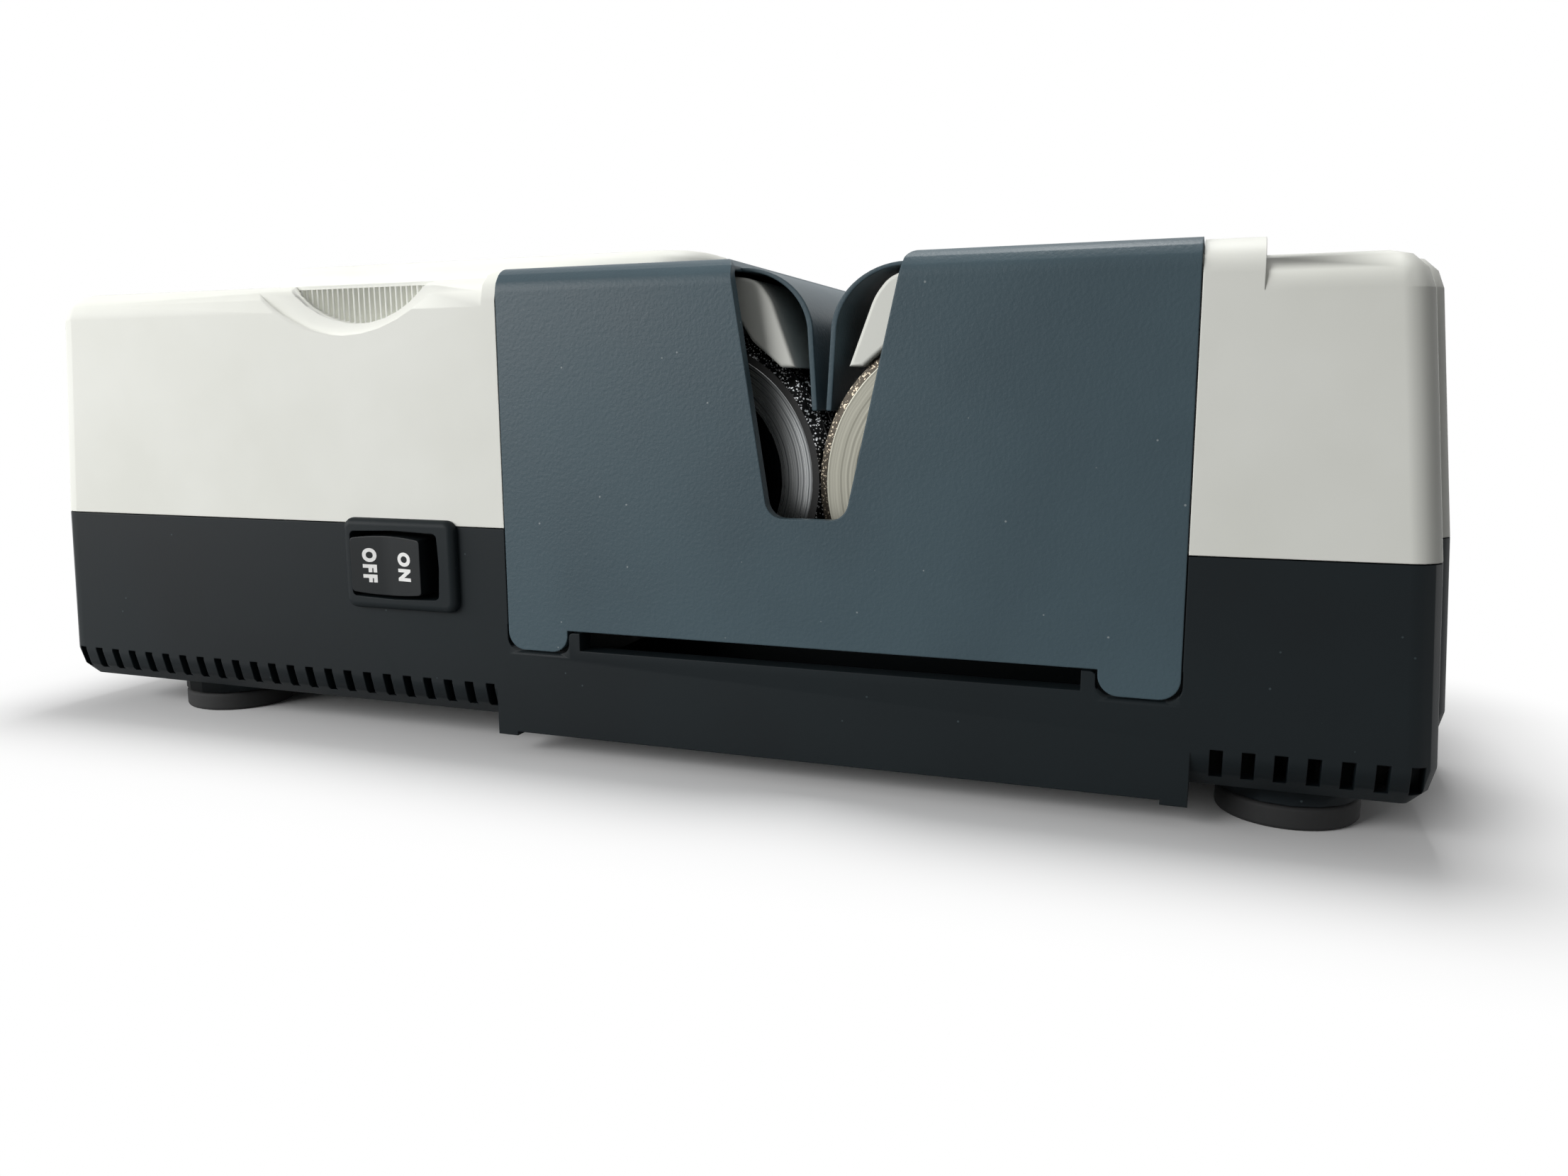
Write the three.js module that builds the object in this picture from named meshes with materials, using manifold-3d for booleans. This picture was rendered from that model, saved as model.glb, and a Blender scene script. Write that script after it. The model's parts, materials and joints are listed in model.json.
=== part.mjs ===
// Electric knife sharpener, bench type. Lengths are in millimetres.
// X runs along the body, Y runs from the front face to the back, Z is up and the floor is at zero.
// The blade is drawn along Y through the V of the cover, between two stacks of grinding discs.
import * as THREE from "three";
import { mergeVertices } from "three/addons/utils/BufferGeometryUtils.js";
import Module from "manifold-3d";

const wasm = await Module();
wasm.setup();

// Clearances and shared values
const gap = 0.3;
const runGap = 0.3;
const overrun = 1;
const weld = 1e-4;
const smallestRadius = 0.4;

// Facet counts
const filletSteps = 3;
const cornerSteps = 4;
const curveSteps = 6;
const innerSteps = 1;
const fineRound = 32;
const footRound = 16;
const beltRound = 24;
const midRound = 16;
const smallRound = 12;
const coarseRound = 8;
const portSteps = 2;

// Body shell: a long box with ends that lean in
const body = {
  halfDepth: 65,
  wall: 2.6,
  floor: 8.5,
  roof: 128.5,
  lowRoof: 126.2,
  seam: 62.4,
  widestLevel: 22,
  upperLevel: 115,
  halfAtFloor: 195.2,
  halfAtSeam: 193,
  halfAtUpper: 187.9,
  cornerRadius: 7,
  floorFillet: 10,
  roofFillet: 8,
};

// Raised saddle round the cover, and the flat apron below it
const saddle = { left: -35, right: 155, roof: 130 };
const apron = { left: -35, right: 145.2, bottom: 6.5, top: 24, legWidth: 6, legDepth: 10, legBottom: 5.4 };

// Bulge in the middle of the right end, which leans with it
const bulge = { proud: 9.5, rootInset: 20.5, halfWidth: 14, cornerRadius: 7, roof: 130 };

// Guide cover, and the V that the blade passes through
const cover = {
  left: -30.5,
  right: 142.5,
  top: 130.4,
  bottom: 36.4,
  wall: 3,
  tabWidth: 18,
  tabBottom: 31.5,
  tabRadius: 4,
  topRadius: 5,
  edgeRadius: 6,
};
const blade = {
  x: 56,
  notchTopHalf: 20.3,
  notchFloorHalf: 9.6,
  notchFloor: 68.7,
  notchRadius: 4,
  lipRadius: 2.5,
};
const fin = {
  setBack: 8,
  thickness: 1.5,
  rootThickness: 1,
  tipHalfGap: 1.1,
  tipLevel: 93.5,
  kneeHalfGap: 3.15,
  kneeLevel: 115,
  flareHalfGap: 20.8,
  flareLevel: 128.4,
  edgeHalfGap: 23.5,
};
const coverSlot = { halfLength: 63.5, bottom: 31.2 };
const windowMargin = 3;

// Deck under the cover, and the two wheel hoods that fill its opening
const deck = { top: 126.5, thickness: 2.4 };
const hood = {
  reach: 46.7,
  tipInner: 7,
  tipOuter: 10.5,
  tipLevel: 104,
  shoulderReach: 10.4,
  shoulderLevel: 116.3,
  shoulderRadius: 10,
  crownReach: 15.4,
  crownLevel: 124.4,
  crownRadius: 6,
  flatReach: 22,
  flatRadius: 8,
  wheelClearance: 0.9,
  tongueReach: 6,
  tongueThickness: 2.4,
  tongueInset: 6,
};

// Carry grip: a low ridge along the roof, and a finger scoop in each long top edge
const ridge = { left: -150, right: 8, halfWidth: 20, rise: 10.5, fillet: 5, wall: 2.6, endRadius: 16 };
const ridgeTop = body.roof + ridge.rise;
const scoop = {
  x: -77,
  halfWidth: 24,
  bottom: 117.3,
  depth: 7,
  rimX: -79.9,
  rimHalfWidth: 32.7,
  rimBottom: 114,
  rimDepth: 3,
  ribCount: 27,
  ribDepth: 0.9,
  ribBelowRoof: 1.2,
};

// Vent slots through the bottom edges, spread evenly between the ends and the apron
const vent = {
  width: 2.8,
  bottom: 12.6,
  top: 19.3,
  depth: 9.6,
  fromLeftEnd: 6.1,
  leftFromApron: 2.3,
  leftCount: 23,
  fromRightEnd: 4.4,
  rightFromApron: 5.5,
  rightCount: 7,
  endFirst: 22,
  endPitch: 6.8,
  endCount: 5,
};

// Grinding discs on two shafts that lie along Y
const disc = {
  radius: 38.5,
  axisLevel: 76,
  halfSpacing: 37.75,
  count: 4,
  width: 3.2,
  sideGap: 0.6,
  firstFace: -56,
  bevelWidth: 0.8,
  gritInner: 37.2,
  leftRingInner: 32,
  rightRingInner: 29,
  cupSlope: 1.2,
  cupDepth: 2.2,
  hubRadius: 9,
};
const shaft = { radius: 5, collarRadius: 8, noseLength: 3 };
const clampNut = { acrossCorners: 8, thickness: 3.4 };
const wheelBearing = { radius: 13 };
const bearingPlate = {
  thickness: 7,
  middleFront: -16,
  rearFront: 5,
  halfWidth: 64,
  bodyTop: 66,
  earRadius: 18,
  windowHalf: 14,
  windowBottom: 16,
  windowTop: 40,
};

// Gear train: two equal gears on the shafts and two idlers below the V
const gear = {
  teeth: 18,
  pitchRadius: 14,
  addendum: 1.3,
  dedendum: 1.8,
  width: 8,
  front: -6,
  rootShare: 0.32,
  tipShare: 0.13,
  pinRadius: 3,
};

// Belt drive from the motor to the left shaft
const belt = { width: 8, thickness: 2, flangeHeight: 1.6, flangeWidth: 1, front: 17 };
const pulley = { driveRadius: 8, drivenRadius: 16, shaftBeyond: 2 };

// Motor, its shaft parallel to the grinding shafts
const motor = {
  x: -95,
  axisLevel: 62,
  radius: 45,
  coreFront: -32,
  coreLength: 34,
  boreRadius: 24.2,
  airGap: 0.5,
  slots: 12,
  slotDepth: 9,
  slotShare: 0.5,
  windingInner: 27,
  windingOuter: 40,
  windingLength: 6.5,
  windingRound: 2,
  bellDepth: 10.2,
  bellWall: 2.4,
  hubWall: 3,
  shaftRadius: 4,
  bearingRadius: 11,
  bearingWidth: 6,
  rotorEnd: 2,
  bellPorts: 6,
  portInner: 17,
  portOuter: 25,
  portShare: 0.55,
};
const fan = {
  radius: 34,
  blades: 9,
  bladeThickness: 1.4,
  plate: 1.6,
  height: 9,
  hubRadius: 9,
  bladeRoot: 12,
};
const cradle = { halfWidth: 38, front: -28, back: -2, top: 34, windowHalf: 12, windowTop: 12 };

// Electrical parts at the back
const capacitor = { x: -98, y: 35, radius: 15, length: 46, clampWall: 2, clampWidth: 12, clampFoot: 9 };
const terminal = {
  x: -10,
  y: 44,
  length: 44,
  depth: 18,
  height: 16,
  screwRadius: 2.6,
  screwPitch: 12,
  screwDepth: 5,
};
const gland = {
  fromEnd: 35.2,
  z: 34,
  flangeRadius: 8.5,
  flangeThickness: 2,
  sleeveRadius: 6.2,
  boreRadius: 3.6,
  inside: 7,
};

// Tray that catches the filings
const tray = { halfLength: 68, front: -57, back: -19, wall: 1.6, height: 16 };

// Rocker switch
const rocker = {
  x: -59.75,
  z: 49.25,
  halfLength: 16.6,
  endRoom: 1.2,
  halfHeight: 7.7,
  tilt: 8,
  pivotDepth: 4.5,
  faceDepth: 2.2,
  back: 6,
  backHalf: 12,
  pinRadius: 1.5,
  pinLength: 1.5,
};
const bezel = {
  halfLength: 22.75,
  halfHeight: 13.25,
  centreZ: 50.25,
  centreX: -58.75,
  proud: 2.6,
  radius: 3.5,
  sleeveWall: 2.2,
  sleeveDepth: 12,
};

// Feet and screws
const foot = {
  leftX: -149,
  rightX: 167,
  y: 41.5,
  radius: 16,
  height: 5.5,
  chamfer: 1,
  padTop: 12,
  counterRadius: 5,
  counterDepth: 3,
};
const footScrew = {
  headRadius: 4.2,
  headHeight: 2.2,
  shankRadius: 1.8,
  length: 15,
  bossRadius: 6,
  bossTop: 26,
};
const caseScrew = {
  leftX: -176,
  rightX: 139.5,
  leftY: 47,
  rightY: 49,
  headRadius: 4,
  headHeight: 3,
  shankRadius: 1.7,
  columnRadius: 6,
  seatLevel: 46,
  reach: 20,
};

// Colours
const white = new THREE.MeshStandardMaterial({ color: 0xeeeeea, roughness: 0.6, metalness: 0 });
const black = new THREE.MeshStandardMaterial({ color: 0x1b1c1e, roughness: 0.6, metalness: 0 });
const slate = new THREE.MeshStandardMaterial({ color: 0x4d565b, roughness: 0.6, metalness: 0 });
const rubber = new THREE.MeshStandardMaterial({ color: 0x161616, roughness: 0.85, metalness: 0 });
const steel = new THREE.MeshStandardMaterial({ color: 0xb9bbbd, roughness: 0.35, metalness: 1 });
const copper = new THREE.MeshStandardMaterial({ color: 0xa8643a, roughness: 0.45, metalness: 1 });
const nylon = new THREE.MeshStandardMaterial({ color: 0xd9d6cc, roughness: 0.55, metalness: 0 });

// Solids from three.js geometry

function solid(geometry) {
  const source = geometry.index ? geometry.toNonIndexed() : geometry;
  const bare = new THREE.BufferGeometry();
  bare.setAttribute("position", source.getAttribute("position"));
  const merged = mergeVertices(bare, weld);
  const corners = merged.index.array;
  const faces = [];
  for (let i = 0; i < corners.length; i += 3) {
    const [a, b, c] = corners.slice(i, i + 3);
    if (a !== b && b !== c && c !== a) faces.push(a, b, c);
  }
  const vertProperties = merged.getAttribute("position").array;
  return new wasm.Manifold(new wasm.Mesh({ numProp: 3, vertProperties, triVerts: new Uint32Array(faces) }));
}

function join(...solids) {
  return solids.reduce((sum, next) => sum.add(next));
}

function cut(base, ...tools) {
  return tools.reduce((rest, tool) => rest.subtract(tool), base);
}

function box(x0, x1, y0, y1, z0, z1) {
  const geometry = new THREE.BoxGeometry(x1 - x0, y1 - y0, z1 - z0);
  return solid(geometry.translate((x0 + x1) / 2, (y0 + y1) / 2, (z0 + z1) / 2));
}

// A box with its twin at the back of the body
function boxPair(x0, x1, y0, y1, z0, z1) {
  return join(box(x0, x1, y0, y1, z0, z1), box(x0, x1, -y1, -y0, z0, z1));
}

// Outline through corners [x, y, radius]; a corner without a radius stays sharp
function rounded(corners) {
  const points = [];
  corners.forEach(([x, y, radius = 0], i) => {
    const corner = new THREE.Vector2(x, y);
    if (radius === 0) {
      points.push(corner);
      return;
    }
    const [xa, ya] = corners[(i + corners.length - 1) % corners.length];
    const [xb, yb] = corners[(i + 1) % corners.length];
    const before = new THREE.Vector2(xa, ya).sub(corner);
    const after = new THREE.Vector2(xb, yb).sub(corner);
    const half = Math.abs(before.angle() - after.angle()) / 2;
    const opening = Math.min(half, Math.PI - half);
    const reach = Math.min(radius / Math.tan(opening), before.length() / 2, after.length() / 2);
    const from = corner.clone().addScaledVector(before.normalize(), reach);
    const to = corner.clone().addScaledVector(after.normalize(), reach);
    const arcRadius = reach * Math.tan(opening);
    const bisector = before.clone().add(after).normalize();
    const centre = corner.clone().addScaledVector(bisector, arcRadius / Math.sin(opening));
    const start = from.clone().sub(centre).angle();
    let sweep = to.clone().sub(centre).angle() - start;
    if (sweep > Math.PI) sweep -= 2 * Math.PI;
    if (sweep < -Math.PI) sweep += 2 * Math.PI;
    for (let k = 0; k <= cornerSteps; k++) {
      const angle = start + (sweep * k) / cornerSteps;
      points.push(new THREE.Vector2(Math.cos(angle), Math.sin(angle)).multiplyScalar(arcRadius).add(centre));
    }
  });
  return points;
}

function circle(x, y, radius, steps = midRound, phase = 0) {
  return Array.from({ length: steps }, (_, k) => {
    const angle = phase + (2 * Math.PI * k) / steps;
    return new THREE.Vector2(x + radius * Math.cos(angle), y + radius * Math.sin(angle));
  });
}

// Points of an ellipse from one angle to another
function arc(x, y, radiusX, radiusY, from, to, steps = curveSteps) {
  return Array.from({ length: steps + 1 }, (_, k) => {
    const angle = from + ((to - from) * k) / steps;
    return new THREE.Vector2(x + radiusX * Math.cos(angle), y + radiusY * Math.sin(angle));
  });
}

// Outline of a band round two circles
function loop(x1, y1, radius1, x2, y2, radius2) {
  const along = Math.atan2(y2 - y1, x2 - x1);
  const lean = Math.acos((radius1 - radius2) / Math.hypot(x2 - x1, y2 - y1));
  return [
    ...arc(x2, y2, radius2, radius2, along - lean, along + lean, beltRound / 2),
    ...arc(x1, y1, radius1, radius1, along + lean, along - lean + 2 * Math.PI, beltRound / 2),
  ];
}

function extrusion(outline, holes, length) {
  const shape = new THREE.Shape(outline);
  shape.holes = holes.map((points) => new THREE.Path(points));
  return new THREE.ExtrudeGeometry(shape, { depth: length, bevelEnabled: false, steps: 1 });
}

// Outline drawn in X and Z, pushed along Y
function alongY(outline, y0, y1, holes = []) {
  return solid(extrusion(outline, holes, y1 - y0).rotateX(Math.PI / 2).translate(0, y1, 0));
}

// Outline drawn in Y and Z, pushed along X
function alongX(outline, x0, x1, holes = []) {
  const turn = new THREE.Matrix4().set(0, 0, 1, x0, 1, 0, 0, 0, 0, 1, 0, 0, 0, 0, 0, 1);
  return solid(extrusion(outline, holes, x1 - x0).applyMatrix4(turn));
}

// Outline drawn in X and Y, pushed along Z
function alongZ(outline, z0, z1, holes = []) {
  return solid(extrusion(outline, holes, z1 - z0).translate(0, 0, z0));
}

function profilePoints(profile) {
  const points = profile.map(([r, h]) => new THREE.Vector2(r, h));
  return THREE.ShapeUtils.isClockWise(points) ? points.reverse() : points;
}

// Ring or pin: profile [radius, position] turned round an axis along Y through x, z
function turnedY(profile, x, z, steps = midRound) {
  const points = profilePoints(profile);
  points.push(points[0].clone());
  return solid(new THREE.LatheGeometry(points, steps).translate(x, 0, z));
}

// The same round an upright axis through x, y
function turnedZ(profile, x, y, steps = midRound) {
  const points = profilePoints(profile);
  points.push(points[0].clone());
  return solid(new THREE.LatheGeometry(points, steps).rotateX(Math.PI / 2).translate(x, y, 0));
}

function pillar(x, y, radius, z0, z1, steps = coarseRound) {
  return alongZ(circle(x, y, radius, steps), z0, z1);
}

// Rounded box made of level outlines; each level has its own middle, half sizes and corner radius
function lofted(levels, steps) {
  const rings = levels.map(({ z, x, halfX, halfY, radius }) => {
    const r = Math.max(Math.min(radius, halfX, halfY), smallestRadius);
    const ring = [];
    [
      [1, -1, -1],
      [1, 1, 0],
      [-1, 1, 1],
      [-1, -1, 2],
    ].forEach(([sideX, sideY, quarter]) => {
      const centreX = x + sideX * (halfX - r);
      const centreY = sideY * (halfY - r);
      const start = (quarter * Math.PI) / 2;
      arc(centreX, centreY, r, r, start, start + Math.PI / 2, steps).forEach((p) => ring.push([p.x, p.y, z]));
    });
    return ring;
  });
  const count = rings[0].length;
  const positions = rings.flat(2);
  const faces = [];
  for (let level = 0; level + 1 < rings.length; level++) {
    for (let k = 0; k < count; k++) {
      const a = level * count + k;
      const b = level * count + ((k + 1) % count);
      faces.push(a, b, b + count, a, b + count, a + count);
    }
  }
  const last = (rings.length - 1) * count;
  for (let k = 1; k + 1 < count; k++) {
    faces.push(0, k + 1, k);
    faces.push(last, last + k, last + k + 1);
  }
  const geometry = new THREE.BufferGeometry();
  geometry.setAttribute("position", new THREE.Float32BufferAttribute(positions, 3));
  geometry.setIndex(faces);
  return solid(geometry);
}

function quarterSteps(count) {
  return Array.from({ length: count + 1 }, (_, k) => ((Math.PI / 2) * k) / count);
}

// The housings

// Half length of the body at a level: the ends lean in towards the top
function endAt(z) {
  const { widestLevel, seam, upperLevel, halfAtFloor, halfAtSeam, halfAtUpper } = body;
  if (z <= widestLevel) return halfAtFloor;
  if (z <= seam) {
    return halfAtFloor + ((halfAtSeam - halfAtFloor) * (z - widestLevel)) / (seam - widestLevel);
  }
  return halfAtSeam + ((halfAtUpper - halfAtSeam) * (z - seam)) / (upperLevel - seam);
}

// Levels of a box with rounded floor and roof edges, inset evenly by a wall
function shellLevels({ floor, roof, floorFillet, roofFillet, cornerRadius, middleX, halfX, halfY, inset }) {
  const steps = inset > 0 ? innerSteps : filletSteps;
  const low = Math.max(floorFillet - inset, smallestRadius);
  const high = Math.max(roofFillet - inset, smallestRadius);
  const levelAt = (z, pulledIn) => ({
    z,
    x: middleX(z),
    halfX: halfX(z) - inset - pulledIn,
    halfY: halfY - inset - pulledIn,
    radius: cornerRadius - inset - pulledIn,
  });
  const angles = quarterSteps(steps);
  const lower = angles.map((a) => levelAt(floor + inset + low * (1 - Math.cos(a)), low * (1 - Math.sin(a))));
  const upper = angles.map((a) => levelAt(roof - inset - high * (1 - Math.sin(a)), high * (1 - Math.cos(a))));
  return [...lower, levelAt(body.seam, 0), ...upper];
}

// The room inside has plain chamfers where the outside is round
function roundSteps(inset) {
  return inset > 0 ? innerSteps : cornerSteps;
}

function bodyForm(roof, inset) {
  const levels = shellLevels({ ...body, roof, middleX: () => 0, halfX: endAt, halfY: body.halfDepth, inset });
  return lofted(levels, roundSteps(inset));
}

function bulgeForm(inset) {
  const halfX = () => (bulge.proud + bulge.rootInset) / 2;
  const middleX = (z) => endAt(z) + (bulge.proud - bulge.rootInset) / 2;
  const levels = shellLevels({ ...body, ...bulge, middleX, halfX, halfY: bulge.halfWidth, inset });
  return lofted(levels, roundSteps(inset));
}

// Places beyond the ends and the long sides
const farEnd = Math.max(body.halfAtFloor, body.halfAtSeam) + bulge.proud + overrun;
const farSide = body.halfDepth + overrun;

// Slice of a form between two places along X
function sliceX(form, x0, x1) {
  return form.intersect(box(x0, x1, -farSide, farSide, -overrun, ridgeTop + overrun));
}

// The whole outer form, or with an inset the room inside it; the roof is higher at the saddle
function caseForm(inset) {
  return join(
    sliceX(bodyForm(body.roof, inset), -farEnd, saddle.left + inset),
    sliceX(bodyForm(saddle.roof, inset), saddle.left + inset, saddle.right - inset),
    sliceX(bodyForm(body.lowRoof, inset), saddle.right - inset, farEnd),
    bulgeForm(inset),
    apronForm(inset),
  );
}

function apronForm(inset) {
  const half = body.halfDepth - inset;
  return box(apron.left + inset, apron.right - inset, -half, half, apron.bottom + inset, apron.top);
}

function apronLegs() {
  const { left, right, legWidth, legDepth, legBottom, bottom } = apron;
  const front = -body.halfDepth;
  const top = bottom + body.wall / 2;
  return join(
    boxPair(left, left + legWidth, front, front + legDepth, legBottom, top),
    boxPair(right - legWidth, right, front, front + legDepth, legBottom, top),
  );
}

// Room for the cover's front and back panels, with two posts between its tabs
function panelRoom() {
  const deep = cover.wall + gap;
  const y0 = -body.halfDepth - overrun;
  const y1 = -body.halfDepth + deep;
  const post = cover.left + cover.tabWidth + gap;
  const farPost = cover.right - cover.tabWidth - gap;
  const top = ridgeTop;
  const { halfLength, bottom } = coverSlot;
  return join(
    boxPair(cover.left - gap, cover.right + gap, y0, y1, cover.bottom - gap, top),
    boxPair(cover.left - gap, post, y0, y1, bottom, cover.bottom),
    boxPair(farPost, cover.right + gap, y0, y1, bottom, cover.bottom),
    boxPair(blade.x - halfLength, blade.x + halfLength, y0, y1, bottom, cover.bottom),
  );
}

// Room for the cover's top, above the deck
function topRoom() {
  return box(cover.left - gap, cover.right + gap, -farSide, farSide, deck.top, ridgeTop);
}

// What stays solid behind the cover: a wall behind each panel and the deck
function coverBacking() {
  const { wall, halfDepth } = body;
  const left = cover.left - gap - wall;
  const right = cover.right + gap + wall;
  const front = -halfDepth - overrun;
  const behind = -halfDepth + cover.wall + gap + wall;
  return join(
    boxPair(left, right, front, behind, coverSlot.bottom - wall, ridgeTop),
    box(left, right, -halfDepth, halfDepth, deck.top - deck.thickness, ridgeTop),
  );
}

// Opening in the deck, filled by the hoods
function deckOpening() {
  const half = hood.reach + gap;
  const depth = body.halfDepth - cover.wall - gap - body.wall;
  return box(blade.x - half, blade.x + half, -depth, depth, deck.top - deck.thickness - overrun, ridgeTop);
}

// The V, drawn larger by a margin
function notchOutline(margin, top) {
  const { x, notchTopHalf, notchFloorHalf, notchFloor, notchRadius } = blade;
  const slope = (notchTopHalf - notchFloorHalf) / (cover.top - notchFloor);
  const topHalf = notchTopHalf + margin + slope * (top - cover.top);
  const floorHalf = notchFloorHalf + margin - slope * margin;
  return rounded([
    [x - floorHalf, notchFloor - margin, notchRadius],
    [x + floorHalf, notchFloor - margin, notchRadius],
    [x + topHalf, top],
    [x - topHalf, top],
  ]);
}

function ridgeForm(inset) {
  const halfX = () => (ridge.right - ridge.left) / 2;
  const middleX = () => (ridge.left + ridge.right) / 2;
  const levels = shellLevels({
    floor: deck.top - deck.thickness - inset,
    roof: ridgeTop,
    floorFillet: 0,
    roofFillet: ridge.fillet,
    cornerRadius: ridge.endRadius,
    middleX,
    halfX,
    halfY: ridge.halfWidth,
    inset,
  });
  const kept = levels.filter(({ z }) => z !== body.seam);
  return lofted(kept, roundSteps(inset));
}

// Segment of a circle below a chord at the roof line
function moonOutline(x, halfWidth, bottom, chord) {
  const rise = chord - bottom;
  const radius = (halfWidth * halfWidth + rise * rise) / (2 * rise);
  const half = Math.asin(halfWidth / radius);
  const down = -Math.PI / 2;
  const turn = halfWidth > radius - rise && rise > radius ? Math.PI - half : half;
  const points = arc(x, bottom + radius, radius, radius, down - turn, down + turn, 2 * curveSteps);
  points.push(new THREE.Vector2(x + halfWidth, ridgeTop), new THREE.Vector2(x - halfWidth, ridgeTop));
  return points;
}

function scoopRoom(margin) {
  const front = -body.halfDepth - overrun;
  const back = -body.halfDepth + scoop.depth + margin;
  const outline = moonOutline(scoop.x, scoop.halfWidth + margin, scoop.bottom - margin, body.roof);
  return alongY(outline, front, back);
}

function scoopRim(margin) {
  const front = -body.halfDepth - overrun;
  const back = -body.halfDepth + scoop.rimDepth + margin;
  const outline = moonOutline(scoop.rimX, scoop.rimHalfWidth + margin, scoop.rimBottom - margin, body.roof);
  return alongY(outline, front, back);
}

// Upright ribs on the back wall of the scoop
function scoopRibs() {
  const { x, halfWidth, ribCount, ribDepth, depth } = scoop;
  const wallY = -body.halfDepth + depth;
  const pitch = (2 * halfWidth) / ribCount;
  const outline = [new THREE.Vector2(x - halfWidth, wallY + body.wall / 2)];
  for (let k = 0; k < ribCount; k++) {
    outline.push(new THREE.Vector2(x - halfWidth + k * pitch, wallY));
    outline.push(new THREE.Vector2(x - halfWidth + (k + 1 / 2) * pitch, wallY - ribDepth));
  }
  outline.push(new THREE.Vector2(x + halfWidth, wallY));
  outline.push(new THREE.Vector2(x + halfWidth, wallY + body.wall / 2));
  const comb = alongZ(outline.reverse(), scoop.bottom - body.wall / 2, body.roof - scoop.ribBelowRoof);
  return comb.intersect(scoopRoom(body.wall / 2));
}

function twin(form) {
  return join(form, form.mirror([0, 1, 0]));
}

function ventCuts() {
  const { width, bottom, top, depth } = vent;
  const half = width / 2;
  const cuts = [];
  const row = (first, last, count) => {
    for (let k = 0; k < count; k++) {
      const x = first + ((last - first) * k) / (count - 1);
      cuts.push(boxPair(x - half, x + half, -farSide, depth - farSide, bottom, top));
    }
  };
  row(vent.fromLeftEnd - body.halfAtFloor, apron.left - vent.leftFromApron, vent.leftCount);
  row(apron.right + vent.rightFromApron, body.halfAtFloor - vent.fromRightEnd, vent.rightCount);
  const outside = body.halfAtFloor + overrun;
  for (let k = 0; k < vent.endCount; k++) {
    const y = vent.endFirst + k * vent.endPitch;
    cuts.push(boxPair(outside - depth, outside, y - half, y + half, bottom, top));
  }
  return join(...cuts);
}

const floorInside = body.floor + body.wall;
const glandX = gland.fromEnd - body.halfAtFloor;
const apronFloor = apron.bottom + body.wall;
const feetPlaces = [
  ["front_left", foot.leftX, -foot.y],
  ["front_right", foot.rightX, -foot.y],
  ["rear_left", foot.leftX, foot.y],
  ["rear_right", foot.rightX, foot.y],
];
const casePlaces = [
  ["front_left", caseScrew.leftX, -caseScrew.leftY],
  ["front_right", caseScrew.rightX, -caseScrew.rightY],
  ["rear_left", caseScrew.leftX, caseScrew.leftY],
  ["rear_right", caseScrew.rightX, caseScrew.rightY],
];

function lowerHousing() {
  const { halfDepth, seam, wall } = body;
  const { bossRadius, bossTop } = footScrew;
  const seamLow = seam - gap / 2;
  const below = box(-farEnd, farEnd, -farSide, farSide, -overrun, seamLow);
  const outer = join(caseForm(0), apronLegs(), ...footPads());
  const inner = cut(caseForm(wall), coverBacking());
  const shell = cut(outer, panelRoom(), inner, ventCuts());
  const columns = casePlaces.map(([, x, y]) => pillar(x, y, caseScrew.columnRadius, floorBelow(x), seamLow));
  const bosses = feetPlaces.map(([, x, y]) => pillar(x, y, bossRadius, floorInside - wall / 2, bossTop));
  const wells = casePlaces.map(([, x, y]) => screwWell(x, y));
  const footHoles = feetPlaces.map(([, x, y]) => footHole(x, y));
  const insideWall = halfDepth - wall - overrun;
  const switchHole = box(...bezelSleeveSpan(gap), -farSide, -insideWall, ...bezelSleeveRise(gap));
  const cordHole = alongY(circle(glandX, gland.z, gland.sleeveRadius + gap, smallRound), insideWall, farSide);
  const holes = [...wells, ...footHoles, switchHole, cordHole];
  return cut(join(shell, ...columns, ...bosses), ...holes).intersect(below);
}

function floorBelow(x) {
  const overApron = x > apron.left && x < apron.right;
  return (overApron ? apronFloor : floorInside) - body.wall / 2;
}

function footPads() {
  return feetPlaces.map(([, x, y]) => pillar(x, y, foot.radius, foot.height + gap, foot.padTop, footRound));
}

function footHole(x, y) {
  const top = foot.height - foot.counterDepth + footScrew.length;
  return pillar(x, y, footScrew.shankRadius + gap, foot.height - overrun, top);
}

// Deep well for a case screw, with a seat for its head and a hole for its shank
function screwWell(x, y) {
  const { headRadius, shankRadius, seatLevel } = caseScrew;
  return join(
    pillar(x, y, headRadius + gap, 0, seatLevel),
    pillar(x, y, shankRadius + gap, seatLevel - overrun, body.seam + overrun),
  );
}

function upperHousing() {
  const { seam, wall } = body;
  const { columnRadius, shankRadius, seatLevel, reach } = caseScrew;
  const above = box(-farEnd, farEnd, -farSide, farSide, seam + gap / 2, ridgeTop + overrun);
  const outer = join(cut(caseForm(0), topRoom()), ridgeForm(0));
  const scoopWalls = twin(join(scoopRoom(wall), scoopRim(wall)));
  const inner = join(cut(caseForm(wall), coverBacking(), scoopWalls), ridgeForm(ridge.wall));
  const scoops = twin(join(scoopRoom(0), scoopRim(0)));
  const notch = alongY(notchOutline(windowMargin, ridgeTop), -farSide, farSide);
  const shell = cut(outer, panelRoom(), inner, scoops, deckOpening(), notch);
  const bossTop = deck.top - deck.thickness / 2;
  const bosses = casePlaces.map(([, x, y]) => pillar(x, y, columnRadius, seam, bossTop));
  const holes = casePlaces.map(([, x, y]) => {
    return pillar(x, y, shankRadius + gap, seam - overrun, seatLevel + reach + wall);
  });
  const ribs = twin(scoopRibs());
  return cut(join(shell, ...bosses, ribs), ...holes).intersect(above);
}

// The guide cover

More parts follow.
